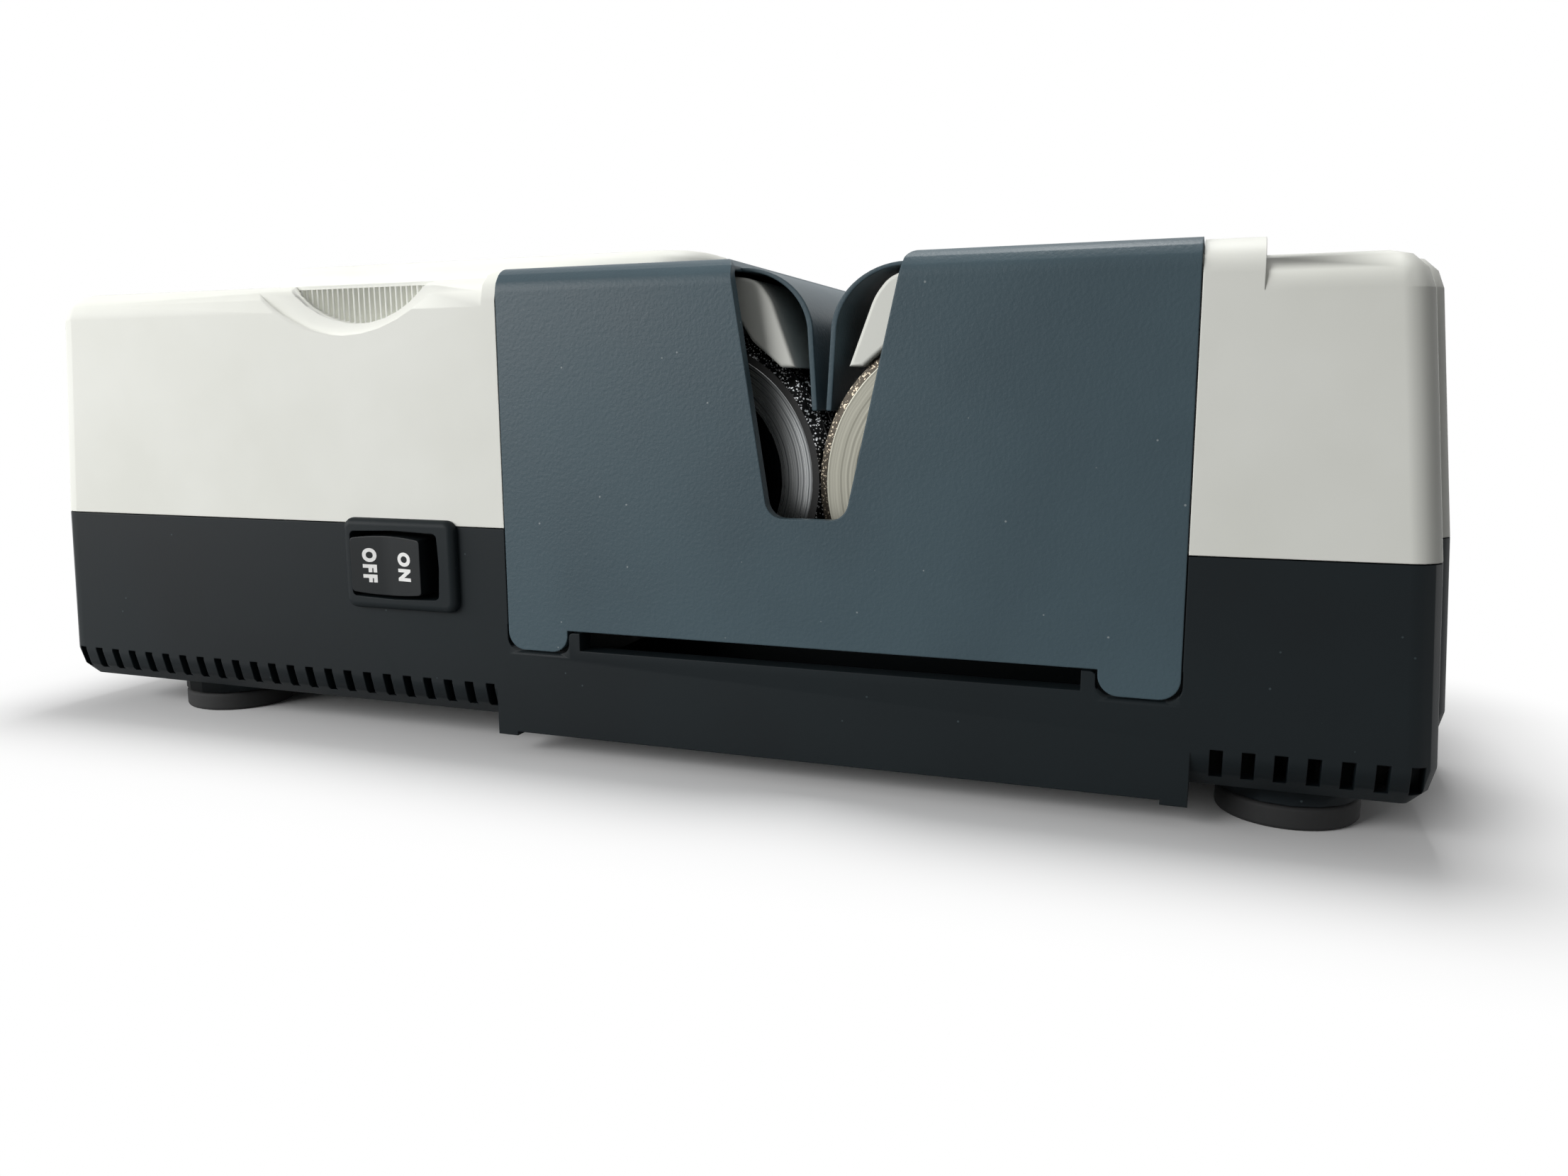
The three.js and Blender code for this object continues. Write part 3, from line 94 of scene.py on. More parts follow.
class Body(Enum):
    """The bodies of the CAD frame that new pieces ride on."""

    FIXED = "body"
    LEFT = "left_spindle"
    RIGHT = "right_spindle"
    COVER = "cover"
    ROCKER = "rocker"


class Slot(Enum):
    """The record's material slots, named with each new piece but not given to it."""

    WHITE = "white_plastic"
    BLACK = "black_plastic"
    SLATE = "slate_plastic"
    RUBBER = "rubber"
    DISC = "disc_steel"


class Side(Enum):
    """Left or right of the blade, as a sign along X."""

    LEFT = -1
    RIGHT = 1


class Plane(Enum):
    """The plane that an outline is drawn in, as the axes of its two numbers and of its depth."""

    XZ = (0, 2, 1)
    YZ = (1, 2, 0)
    XY = (0, 1, 2)

    def point(self, first: float, second: float, depth: float) -> Vector:
        """Gives the point in metres for two numbers in this plane and a depth, all in millimetres."""
        place = [0.0, 0.0, 0.0]
        for axis, value in zip(self.value, (first, second, depth)):
            place[axis] = value * MM
        return Vector(place)


# Node work

def linear(code: str) -> tuple[float, float, float, float]:
    """Turns an sRGB hex colour into linear light.

    Args:
        code: Six hex digits.

    Returns:
        Red, green, blue and a full alpha.
    """
    shares = [int(code[i : i + 2], 16) / 255 for i in (0, 2, 4)]
    red, green, blue = (s / 12.92 if s <= 0.04045 else ((s + 0.055) / 1.055) ** 2.4 for s in shares)
    return (red, green, blue, 1.0)


def add_node(
    tree: bpy.types.NodeTree, kind: str, inputs: dict | None = None, **settings: object
) -> bpy.types.Node:
    """Adds a node with its settings, values and links.

    Args:
        tree: The tree that gets the node.
        kind: The node's type name.
        inputs: Values or output sockets by input name or number.
        **settings: Properties of the node.

    Returns:
        The new node.
    """
    node = tree.nodes.new(kind)
    for name, value in settings.items():
        setattr(node, name, value)
    for key, value in (inputs or {}).items():
        if isinstance(value, bpy.types.NodeSocket):
            tree.links.new(value, node.inputs[key])
        else:
            node.inputs[key].default_value = value
    return node


@dataclass(frozen=True)
class Finish:
    """A surface finish, made once as a material and shared by the pieces that have it."""

    name: str

    def material(self) -> bpy.types.Material:
        """Gives the finish's material, made at its first use."""
        made = bpy.data.materials.get(self.name)
        if made is None:
            made = bpy.data.materials.new(self.name)
            made.use_nodes = True
            made.node_tree.nodes.clear()
            shader = self.shader(made.node_tree)
            add_node(made.node_tree, "ShaderNodeOutputMaterial", {"Surface": shader.outputs[0]})
        return made

    def shader(self, tree: bpy.types.NodeTree) -> bpy.types.Node:
        """Builds the finish's nodes and gives the last shader."""
        raise NotImplementedError


def ramp(
    tree: bpy.types.NodeTree, value: bpy.types.NodeSocket, stops: list[tuple[float, str]]
) -> bpy.types.NodeSocket:
    """Colours a value from 0 to 1.

    Args:
        tree: The tree that gets the nodes.
        value: The value.
        stops: Places from 0 to 1, each with an sRGB hex colour.

    Returns:
        The colour socket.
    """
    node = add_node(tree, "ShaderNodeValToRGB", {"Fac": value})
    elements = node.color_ramp.elements
    while len(elements) < len(stops):
        elements.new(1.0)
    for element, (place, code) in zip(elements, stops):
        element.position = place
        element.color = linear(code)
    return node.outputs["Color"]


@dataclass(frozen=True)
class MouldedPlastic(Finish):
    """Injection-moulded plastic with a fine spark-eroded grain and softly rounded edges."""

    colour: str
    shade: str
    roughness: float = 0.5
    grain: float = 0.9
    grain_depth: float = 0.02
    edge: float = 0.35
    gloss: float = 0.4
    fleck: str = ""

    def shader(self, tree: bpy.types.NodeTree) -> bpy.types.Node:
        """Builds cloudy colour, grain and rounded edges round a plain plastic shader."""
        place = add_node(tree, "ShaderNodeTexCoord").outputs["Object"]
        cloud = add_node(
            tree, "ShaderNodeTexNoise", {"Vector": place, "Scale": 1 / (45 * MM), "Detail": 3.0}
        )
        # The real grain is about 0.3 mm wide, drawn coarser so that it shows
        grain = add_node(
            tree,
            "ShaderNodeTexNoise",
            {"Vector": place, "Scale": 1 / (self.grain * MM), "Detail": 2.5, "Roughness": 0.6},
        )
        colour = ramp(tree, cloud.outputs["Fac"], [(0.35, self.shade), (0.62, self.colour)])
        if self.fleck:
            # Dust and scuffs: specks about 0.5 mm wide, 7 mm apart
            specks = add_node(tree, "ShaderNodeTexVoronoi", {"Vector": place, "Scale": 1 / (7 * MM)})
            share = ramp(tree, specks.outputs["Distance"], [(0.03, "ffffff"), (0.045, "000000")])
            colour = add_node(
                tree,
                "ShaderNodeMix",
                {"Factor": share, "A": colour, "B": linear(self.fleck)},
                data_type="RGBA",
            ).outputs["Result"]
        dull = add_node(
            tree,
            "ShaderNodeMapRange",
            {
                "Value": cloud.outputs["Fac"],
                "From Min": 0.3,
                "From Max": 0.7,
                "To Min": self.roughness - 0.04,
                "To Max": self.roughness + 0.05,
            },
        )
        edge = add_node(tree, "ShaderNodeBevel", {"Radius": self.edge * MM}, samples=6)
        bump = add_node(
            tree,
            "ShaderNodeBump",
            {
                "Height": grain.outputs["Fac"],
                "Strength": 0.6,
                "Distance": self.grain_depth * MM,
                "Normal": edge.outputs["Normal"],
            },
        )
        return add_node(
            tree,
            "ShaderNodeBsdfPrincipled",
            {
                "Base Color": colour,
                "Roughness": dull.outputs["Result"],
                "IOR": ABS_IOR,
                "Specular IOR Level": self.gloss,
                "Normal": bump.outputs["Normal"],
            },
        )


@dataclass(frozen=True)
class TurnedSteel(Finish):
    """Steel faced on a lathe: concentric tool marks round an axis along Y."""

    light: str
    dark: str
    centre: tuple[float, float]
    recess: float
    roughness: float = 0.33
    ring: float = 0.35
    # Painted shade: the near-black that the sunk middle gets for the shade of its recess
    recess_shade: str = "101417"

    def shader(self, tree: bpy.types.NodeTree) -> bpy.types.Node:
        """Builds rings of colour, gloss and height from the distance to the axis, and paints shade
        into the sunk middle.
        """
        place = add_node(tree, "ShaderNodeTexCoord").outputs["Object"]
        x, z = self.centre
        centred = add_node(
            tree, "ShaderNodeMapping", {"Vector": place, "Location": (-x * MM, 0, -z * MM)}
        )
        flat = add_node(
            tree,
            "ShaderNodeVectorMath",
            {0: centred.outputs["Vector"], 1: (1.0, 0.0, 1.0)},
            operation="MULTIPLY",
        )
        radius = add_node(
            tree, "ShaderNodeVectorMath", {0: flat.outputs["Vector"]}, operation="LENGTH"
        ).outputs["Value"]
        smear = add_node(
            tree, "ShaderNodeTexNoise", {"Vector": place, "Scale": 1 / (9 * MM), "Detail": 2.0}
        )
        wander = add_node(
            tree,
            "ShaderNodeMath",
            {0: smear.outputs["Fac"], 1: self.ring * MM, 2: radius},
            operation="MULTIPLY_ADD",
        )
        rings = add_node(
            tree,
            "ShaderNodeTexNoise",
            {"W": wander.outputs["Value"], "Scale": 1 / (self.ring * MM), "Detail": 3.0},
            noise_dimensions="1D",
        ).outputs["Fac"]
        faced = ramp(tree, rings, [(0.3, self.dark), (0.68, self.light)])
        # The sunk middle of the cup is painted near-black: painted shade standing in for the depth of
        # the recess
        sunk = add_node(
            tree,
            "ShaderNodeMath",
            {0: radius, 1: (self.recess - 0.15) * MM},
            operation="LESS_THAN",
        )
        colour = add_node(
            tree,
            "ShaderNodeMix",
            {"Factor": sunk.outputs["Value"], "A": faced, "B": linear(self.recess_shade)},
            data_type="RGBA",
        ).outputs["Result"]
        dull = add_node(
            tree,
            "ShaderNodeMapRange",
            {
                "Value": rings,
                "From Min": 0.3,
                "From Max": 0.7,
                "To Min": self.roughness + 0.12,
                "To Max": self.roughness - 0.06,
            },
        )
        bump = add_node(
            tree, "ShaderNodeBump", {"Height": rings, "Strength": 0.5, "Distance": 0.02 * MM}
        )
        return add_node(
            tree,
            "ShaderNodeBsdfPrincipled",
            {
                "Base Color": colour,
                "Metallic": 1.0,
                "Roughness": dull.outputs["Result"],
                "Normal": bump.outputs["Normal"],
            },
        )


@dataclass(frozen=True)
class AbrasiveGrit(Finish):
    """Crystals held in a plated bond: a dark crust with bright facets."""

    bond: str
    crystal: str
    grit: float = 0.45

    def shader(self, tree: bpy.types.NodeTree) -> bpy.types.Node:
        """Builds one random tone and height for each crystal."""
        place = add_node(tree, "ShaderNodeTexCoord").outputs["Object"]
        # Real crystals are about 0.15 mm, drawn larger so that they show
        cells = add_node(
            tree, "ShaderNodeTexVoronoi", {"Vector": place, "Scale": 1 / (self.grit * MM)}
        )
        tone = add_node(tree, "ShaderNodeSeparateColor", {"Color": cells.outputs["Color"]})
        colour = ramp(
            tree, tone.outputs["Red"], [(0.45, self.bond), (0.8, self.bond), (0.92, self.crystal)]
        )
        bump = add_node(
            tree,
            "ShaderNodeBump",
            {"Height": tone.outputs["Green"], "Strength": 1.0, "Distance": 0.16 * MM},
        )
        return add_node(
            tree,
            "ShaderNodeBsdfPrincipled",
            {
                "Base Color": colour,
                "Metallic": 0.85,
                "Roughness": 0.3,
                "Normal": bump.outputs["Normal"],
            },
        )


@dataclass(frozen=True)
class PlainSurface(Finish):
    """A metal, rubber, nylon or painted surface with an even tone and a fine broken grain."""

    light: str
    dark: str
    roughness: float
    metallic: float = 0.0
    grain: float = 1.5
    grain_depth: float = 0.03
    stretch: tuple[float, float, float] = (1.0, 1.0, 1.0)

    def shader(self, tree: bpy.types.NodeTree) -> bpy.types.Node:
        """Builds noise, stretched along the way the surface was made, for colour and height."""
        place = add_node(tree, "ShaderNodeTexCoord").outputs["Object"]
        drawn = add_node(tree, "ShaderNodeMapping", {"Vector": place, "Scale": self.stretch})
        grain = add_node(
            tree,
            "ShaderNodeTexNoise",
            {"Vector": drawn.outputs["Vector"], "Scale": 1 / (self.grain * MM), "Detail": 4.0},
        ).outputs["Fac"]
        colour = ramp(tree, grain, [(0.3, self.dark), (0.7, self.light)])
        bump = add_node(
            tree,
            "ShaderNodeBump",
            {"Height": grain, "Strength": 0.5, "Distance": self.grain_depth * MM},
        )
        return add_node(
            tree,
            "ShaderNodeBsdfPrincipled",
            {
                "Base Color": colour,
                "Metallic": self.metallic,
                "Roughness": self.roughness,
                "Normal": bump.outputs["Normal"],
            },
        )


# White ABS, spark-eroded mould: matt, a little warm, its grain hardly seen
WHITE_ABS = MouldedPlastic("white_abs_moulded", "eff0e9", "e8e9e1", 0.5, 1.0, 0.015, gloss=0.3)
# Black ABS: near-black with a soft broad sheen and a little dust
BLACK_ABS = MouldedPlastic(
    "black_abs_moulded", "12191c", "0f1518", 0.5, 0.9, 0.03, edge=0.4, gloss=0.13, fleck="343d40"
)
# Slate ABS of the guide cover: blue-grey with a grain that catches the light, and pale scuffs
SLATE_ABS = MouldedPlastic(
    "slate_abs_moulded", "42545c", "3d4e56", 0.42, 0.9, 0.12, edge=0.5, gloss=0.22, fleck="868f92"
)
# Gloss black ABS of the rocker: smoother than the housing round it
ROCKER_ABS = MouldedPlastic(
    "black_abs_polished", "15191b", "121618", 0.32, 1.2, 0.006, edge=0.4, gloss=0.16
)
# Foot rubber: dull, almost without a sheen
FOOT_RUBBER = PlainSurface("foot_rubber_moulded", "0c0d0e", "08090a", 0.8, 0.0, 1.2, 0.04)
# Neoprene of the belt and the cord bush, ground to size
BELT_RUBBER = PlainSurface("belt_rubber_ground", "222222", "161616", 0.7, 0.0, 0.8, 0.05)
# Zinc-plated screws and nuts: pale, slightly blue
ZINC_STEEL = PlainSurface("zinc_plated_steel", "c4c7cb", "9fa3a8", 0.35, 1.0, 0.6, 0.01)
# Cold-rolled plate, with its rolling direction along X
ROLLED_STEEL = PlainSurface(
    "cold_rolled_steel", "a4a6a8", "85878a", 0.42, 1.0, 0.5, 0.01, (0.1, 1, 1)
)
# Ground shafts, with grinding marks round them
GROUND_STEEL = PlainSurface(
    "ground_shaft_steel", "c2c4c6", "a5a7aa", 0.25, 1.0, 0.3, 0.005, (1, 4, 1)
)
# Stator laminations, 0.5 mm sheets stacked along Y
LAMINATION = PlainSurface(
    "laminated_core_steel", "6d6f72", "4c4e51", 0.5, 0.9, 1.2, 0.1, (0.02, 2, 0.02)
)
# Cast aluminium end bells: grey with a sandy skin
CAST_BELL = PlainSurface("cast_aluminium", "a9abac", "8f9193", 0.55, 1.0, 1.0, 0.08)
# Enamelled copper turns, about 0.6 mm wire, running round the winding
WOUND_COPPER = PlainSurface(
    "enamelled_copper_wire", "b5622f", "7a3a18", 0.35, 0.8, 1.0, 0.25, (0.15, 1, 0.15)
)
# Natural nylon of gears, pulleys and fan
NYLON = PlainSurface("natural_nylon", "dedbd0", "d2cec1", 0.5, 0.0, 8.0, 0.02)
# White ink printed on the rocker
PAD_PRINT = PlainSurface("white_pad_print", "f4f4f2", "e8e8e6", 0.55, 0.0, 0.5, 0.01)
# Disc faces turned on a lathe: bright tool marks on the left, a duller and warmer skin on the right
LEFT_PLATE = TurnedSteel("turned_steel_left", "a9abab", "4a4d4f", LEFT_AXIS, 25.5, 0.3, 0.5)
RIGHT_PLATE = TurnedSteel("turned_steel_right", "8d8c82", "74736a", RIGHT_AXIS, 29.3, 0.45, 0.6)
# Abrasive rims: bright crystals in a black bond on the left, tan ones in a brown bond on the right
LEFT_CRUST = AbrasiveGrit("black_bond_grit", "0e0f10", "f2f5f8", 0.36)
RIGHT_CRUST = AbrasiveGrit("bronze_bond_grit", "2a2620", "857c6d", 0.34)
# Resin bond between plate and crust: black and dull
RESIN_BOND = PlainSurface("black_resin_bond", "141414", "0c0c0c", 0.6, 0.0, 0.6, 0.05)


# Modelling with operators

def release() -> None:
    """Leaves edit mode and selects nothing."""
    if bpy.context.object is not None and bpy.context.object.mode != "OBJECT":
        bpy.ops.object.mode_set(mode="OBJECT")
    bpy.ops.object.select_all(action="DESELECT")


def take(piece: bpy.types.Object) -> None:
    """Selects this piece alone, in object mode, and makes it the active one."""
    release()
    piece.select_set(True)
    bpy.context.view_layer.objects.active = piece


@contextmanager
def editing(piece: bpy.types.Object) -> Iterator[None]:
    """Holds a piece in edit mode with everything on it selected."""
    take(piece)
    bpy.ops.object.mode_set(mode="EDIT")
    bpy.ops.mesh.select_mode(type="VERT")
    bpy.ops.mesh.select_all(action="SELECT")
    yield
    bpy.ops.object.mode_set(mode="OBJECT")


def pick_edges(test: Callable[[Vector, Vector, float], bool]) -> None:
    """Selects edges of the mesh in edit mode.

    Args:
        test: Takes an edge's middle, its direction and the angle between its faces.
    """
    bpy.ops.mesh.select_mode(type="EDGE")
    bpy.ops.mesh.select_all(action="DESELECT")
    mesh = bpy.context.edit_object.data
    form = bmesh.from_edit_mesh(mesh)
    for edge in form.edges:
        start, end = (vert.co for vert in edge.verts)
        angle = edge.calc_face_angle(0.0) if len(edge.link_faces) == 2 else 0.0
        if test((start + end) / 2, (end - start).normalized(), angle):
            edge.select_set(True)
    form.select_flush_mode()
    bmesh.update_edit_mesh(mesh)


def round_edges(radius: float, steps: int) -> None:
    """Bevels the selected edges to a radius in millimetres, with this many faces."""
    bpy.ops.mesh.bevel(
        offset=radius * MM, segments=steps, profile=0.5, affect="EDGES", clamp_overlap=True
    )


def chain(name: str, points: list[Vector]) -> bpy.types.Object:
    """Draws a line of edges by extruding one vertex from point to point.

    Args:
        name: The piece's name.
        points: The points, in metres.

    Returns:
        The piece, with nothing but edges.
    """
    release()
    bpy.ops.mesh.primitive_plane_add(size=MM, location=points[0])
    piece = bpy.context.object
    piece.name = piece.data.name = name
    bpy.ops.object.transform_apply(location=True, rotation=True, scale=True)
    with editing(piece):
        bpy.ops.mesh.merge(type="CENTER")
        for before, after in zip(points, points[1:]):
            bpy.ops.mesh.extrude_region_move(TRANSFORM_OT_translate={"value": after - before})
    return piece


def prism(
    name: str, outline: list[Corner], plane: Plane, near: float, far: float
) -> bpy.types.Object:
    """Fills a closed outline and extrudes it.

    Args:
        name: The piece's name.
        outline: Its corners, in millimetres.
        plane: The plane that it is drawn in.
        near: Where the form starts across that plane, in millimetres.
        far: Where it ends.

    Returns:
        The piece, with its faces outwards.
    """
    piece = chain(name, [plane.point(c[0], c[1], near) for c in outline])
    with editing(piece):
        bpy.ops.mesh.edge_face_add()
        bpy.ops.mesh.select_all(action="SELECT")
        bpy.ops.mesh.extrude_region_move(
            TRANSFORM_OT_translate={"value": plane.point(0, 0, far - near)}
        )
        bpy.ops.mesh.select_all(action="SELECT")
        bpy.ops.mesh.normals_make_consistent(inside=False)
    return piece


def turned(
    name: str, profile: list[tuple[float, float]], centre: Vector, axis: Vector, steps: int
) -> bpy.types.Object:
    """Spins a half section round an axis.

    Args:
        name: The piece's name.
        profile: Radius and height pairs in millimetres, closed by the spin.
        centre: A point of the axis, where the height is zero, in metres.
        axis: The axis, as a unit vector.
        steps: How many faces go round.

    Returns:
        The piece, closed and with its faces outwards.
    """
    side = Vector((0, 0, 1)) if abs(axis.z) < 0.5 else Vector((1, 0, 0))
    points = [centre + side * (r * MM) + axis * (h * MM) for r, h in profile]
    piece = chain(name, [*points, points[0]])
    with editing(piece):
        bpy.ops.mesh.spin(steps=steps, angle=FULL_TURN, use_auto_merge=True, center=centre, axis=axis)
        bpy.ops.mesh.select_all(action="SELECT")
        bpy.ops.mesh.remove_doubles(threshold=0.002 * MM)
        bpy.ops.mesh.dissolve_degenerate(threshold=0.002 * MM)
        bpy.ops.mesh.normals_make_consistent(inside=False)
    return piece


def merged_copy(node: str, name: str) -> bpy.types.Object:
    """Copies a CAD moulding and joins its loose triangles into whole faces.

    Args:
        node: The CAD node.
        name: The new piece's name.

    Returns:
        The copy, which rides on nothing yet.
    """
    take(frame["nodes"][node])
    bpy.ops.object.duplicate()
    piece = bpy.context.object
    piece.name = piece.data.name = name
    piece.parent = None
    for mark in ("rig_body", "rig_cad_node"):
        del piece[mark]
    with editing(piece):
        bpy.ops.mesh.remove_doubles(threshold=0.002 * MM)
        bpy.ops.mesh.dissolve_limited(angle_limit=math.radians(0.4))
    return piece


def apply_modifier(piece: bpy.types.Object, kind: str, **settings: object) -> None:
    """Adds a modifier with its settings and applies it."""
    take(piece)
    modifier = piece.modifiers.new(kind.lower(), kind)
    for name, value in settings.items():
        setattr(modifier, name, value)
    bpy.ops.object.modifier_apply(modifier=modifier.name)


def combine(operation: str, piece: bpy.types.Object, others: tuple[bpy.types.Object, ...]) -> None:
    """Runs a boolean of a piece with each of some others and removes those."""
    for other in others:
        apply_modifier(piece, "BOOLEAN", operation=operation, object=other, solver="EXACT")
        bpy.data.objects.remove(other)


def join(piece: bpy.types.Object, *fillers: bpy.types.Object) -> None:
    """Adds the fillers' forms to a piece and removes them."""
    combine("UNION", piece, fillers)


def cut(piece: bpy.types.Object, *cutters: bpy.types.Object) -> None:
    """Takes the cutters' forms out of a piece and removes them."""
    combine("DIFFERENCE", piece, cutters)


def soften(piece: bpy.types.Object, width: float, steps: int, least: float = 50.0) -> None:
    """Bevels all edges of a piece that turn by more than an angle.

    Args:
        piece: The piece.
        width: The bevel's width, in millimetres.
        steps: How many faces the bevel gets.
        least: The angle between two faces, in degrees.
    """
    apply_modifier(
        piece,
        "BEVEL",
        width=width * MM,
        segments=steps,
        limit_method="ANGLE",
        angle_limit=math.radians(least),
    )


def smooth(piece: bpy.types.Object, angle: float = SMOOTH_ANGLE) -> None:
    """Shades a piece smooth where its faces meet at less than an angle, weighted by their size."""
    take(piece)
    bpy.ops.object.shade_smooth_by_angle(angle=angle)
    apply_modifier(piece, "WEIGHTED_NORMAL", keep_sharp=True, weight=80)


def rectangle(
    left: float, right: float, low: float, high: float, radius: float = 0.0
) -> list[Corner]:
    """Gives the corners of a rectangle, each with the same radius."""
    return [(left, low, radius), (right, low, radius), (right, high, radius), (left, high, radius)]


def rounded(corners: list[Corner], steps: int = 8) -> list[tuple[float, float]]:
    """Rounds the corners of an outline.

    Args:
        corners: Corners, each with an optional radius.
        steps: How many edges an arc gets.

    Returns:
        The outline's points.
    """
    points: list[tuple[float, float]] = []
    for i, corner in enumerate(corners):
        middle = Vector(corner[:2])
        radius = corner[2] if len(corner) > 2 else 0
        if radius == 0:
            points.append(tuple(middle))
            continue
        before = Vector(corners[i - 1][:2]) - middle
        after = Vector(corners[(i + 1) % len(corners)][:2]) - middle
        half = before.angle(after) / 2
        reach = min(radius / math.tan(half), before.length / 2, after.length / 2)
        arc_radius = reach * math.tan(half)
        start, end = middle + before.normalized() * reach, middle + after.normalized() * reach
        bisector = (before.normalized() + after.normalized()).normalized()
        centre = middle + bisector * (arc_radius / math.sin(half))
        sweep = (end - centre).angle_signed(start - centre)
        for k in range(steps + 1):
            turn = Matrix.Rotation(sweep * k / steps, 2)
            points.append(tuple(centre + turn @ (start - centre)))
    return points


# Sub-assemblies

@dataclass
class SubAssembly:
    """A group of pieces of the sharpener, with its sizes in millimetres."""

    def finish(
        self, piece: bpy.types.Object, finish: Finish, body: Body, slot: Slot, *nodes: str
    ) -> bpy.types.Object:
        """Dresses a new piece, puts it on its body and lets it stand for CAD nodes.

        Args:
            piece: The piece.
            finish: Its finish.
            body: The body that it rides on.
            slot: The record's material slot for it; not used.
            *nodes: The CAD nodes that it stands for.

        Returns:
            The piece.
        """
        piece.data.materials.clear()
        piece.data.materials.append(finish.material())
        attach(piece, body.value)
        if nodes:
            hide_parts(*nodes)
        log.info("%s: %d faces, %s", piece.name, len(piece.data.polygons), finish.name)
        return piece

    def dress(self, finish: Finish, *nodes: str) -> None:
        """Gives CAD nodes that stay a finish."""
        for name in nodes:
            mesh = frame["nodes"][name].data
            mesh.materials.clear()
            mesh.materials.append(finish.material())
            log.info("%s: kept, %s", name, finish.name)

    def build(self) -> None:
        """Builds and dresses the group's pieces."""
        raise NotImplementedError


@dataclass
class Housing(SubAssembly):
    """The white upper and the black lower moulding."""

    wall: float = 2.6
    roof: float = 128.5
    # Recess for the cover's tabs, and the posts between the tabs and the slot
    room_left: float = -35.7
    room_floor: float = 29.15
    room_depth: float = 3.4
    room_above_post: float = 1.4
    outer_corner: float = 5.4
    inner_corner: float = 4.8
    post_left: float = -16.8
    post_top: float = 35.1
    post_corner: float = 1.2
    # Slot between the posts, and its overlap with the recess above
    slot_left: float = -13.6
    slot_floor: float = 30.45
    slot_depth: float = 9.5
    slot_overlap: float = 0.2
    # How far a tab's filler reaches past the recess: outwards, inwards, down, up and in depth
    filler_past: tuple[float, float, float, float, float] = (0.1, 0.2, 1.0, 0.5, 0.4)
    # Left, right, bottom and top of the switch's opening, and of the filler round it
    switch_hole: tuple[float, float, float, float] = (-85.6, -54.2, 40.9, 61.9)
    switch_filler: tuple[float, float, float, float] = (-89.6, -39.2, 36.9, 62.0)
    # Opening in the front wall behind the cover's notch
    window: tuple[Corner, ...] = ((35.0, 64.4), (64.5, 64.4), (78.5, 131.0), (24.5, 131.0))
    window_depth: float = 6.6
    # Finger scoops: a segment of a circle with upright ribs on its back wall
    scoop_middle: float = -81.75
    scoop_half: float = 24.0
    scoop_bottom: float = 117.3
    scoop_wall: float = 56.662
    scoop_ribs: int = 27
    groove_half: float = 0.62
    groove_depth: float = 1.2
    groove_ahead: float = 0.5
    groove_above_rim: float = 0.4
    groove_below_roof: float = 1.2

    def grooves(self) -> list[bpy.types.Object]:
        """Makes the cutters that deepen the valleys between the finger scoops' ribs.

        Returns:
            One upright wedge for each valley, first of the front scoop and then of the back one.
        """
        rise = self.roof - self.scoop_bottom
        radius = (self.scoop_half**2 + rise**2) / (2 * rise)
        pitch = 2 * self.scoop_half / self.scoop_ribs
        top = self.roof - self.groove_below_roof
        wedges = []
        for face in (-1, 1):
            # The back scoop mirrors the front one about the body's middle
            shift = 2 * MIDDLE_Y if face > 0 else 0.0
            mouth = face * (self.scoop_wall + self.groove_ahead) + shift
            tip = face * (self.scoop_wall - self.groove_depth) + shift
            for k in range(1, self.scoop_ribs):
                off = k * pitch - self.scoop_half
                x = self.scoop_middle + off
                rim = self.scoop_bottom + radius - math.sqrt(radius**2 - off**2)
                outline = [(x - self.groove_half, mouth), (x, tip), (x + self.groove_half, mouth)]
                low = rim + self.groove_above_rim
                wedges.append(prism(f"groove_{face}_{k}", outline, Plane.XY, low, top))
        return wedges

    def block(self, name: str, sides: list[Corner], deep: float) -> bpy.types.Object:
        """Makes a block behind the front face from the corners of a rectangle and a depth."""
        return prism(name, sides, Plane.XZ, BODY_FRONT, BODY_FRONT + deep)

    def cover_room(self, lower: bpy.types.Object) -> None:
        """Shapes the recess to the cover's rounded tabs and opens the slot between them."""
        twin = 2 * BLADE_X
        left, post, floor, top = self.room_left, self.post_left, self.room_floor, self.post_top
        outwards, inwards, down, up, deeper = self.filler_past
        for side in Side:
            ends = (left - outwards, post + inwards)
            if side is Side.RIGHT:
                ends = (twin - ends[1], twin - ends[0])
            name = f"{side.name.lower()}_tab_filler"
            sides = rectangle(*ends, floor - down, top + up)
            join(lower, self.block(name, sides, self.room_depth + deeper))
        above = top + self.room_above_post
        outline = [
            (left, floor, self.outer_corner),
            (post, floor, self.inner_corner),
            (post, top, self.post_corner),
            (twin - post, top, self.post_corner),
            (twin - post, floor, self.inner_corner),
            (twin - left, floor, self.outer_corner),
            (twin - left, above),
            (left, above),
        ]
        start = BODY_FRONT - PAST
        room = prism("tab_room", rounded(outline), Plane.XZ, start, BODY_FRONT + self.room_depth)
        gap = self.slot_left
        sides = rectangle(gap, twin - gap, self.slot_floor, top + self.slot_overlap)
        slot = prism("cover_slot", sides, Plane.XZ, start, BODY_FRONT + self.slot_depth)
        cut(lower, room, slot)

    def switch_room(self, lower: bpy.types.Object) -> None:
        """Closes the wall round the switch and opens it to the switch's own size."""
        join(lower, self.block("switch_filler", rectangle(*self.switch_filler), self.wall))
        cut(lower, self.block("switch_opening", rectangle(*self.switch_hole), 2 * self.wall))

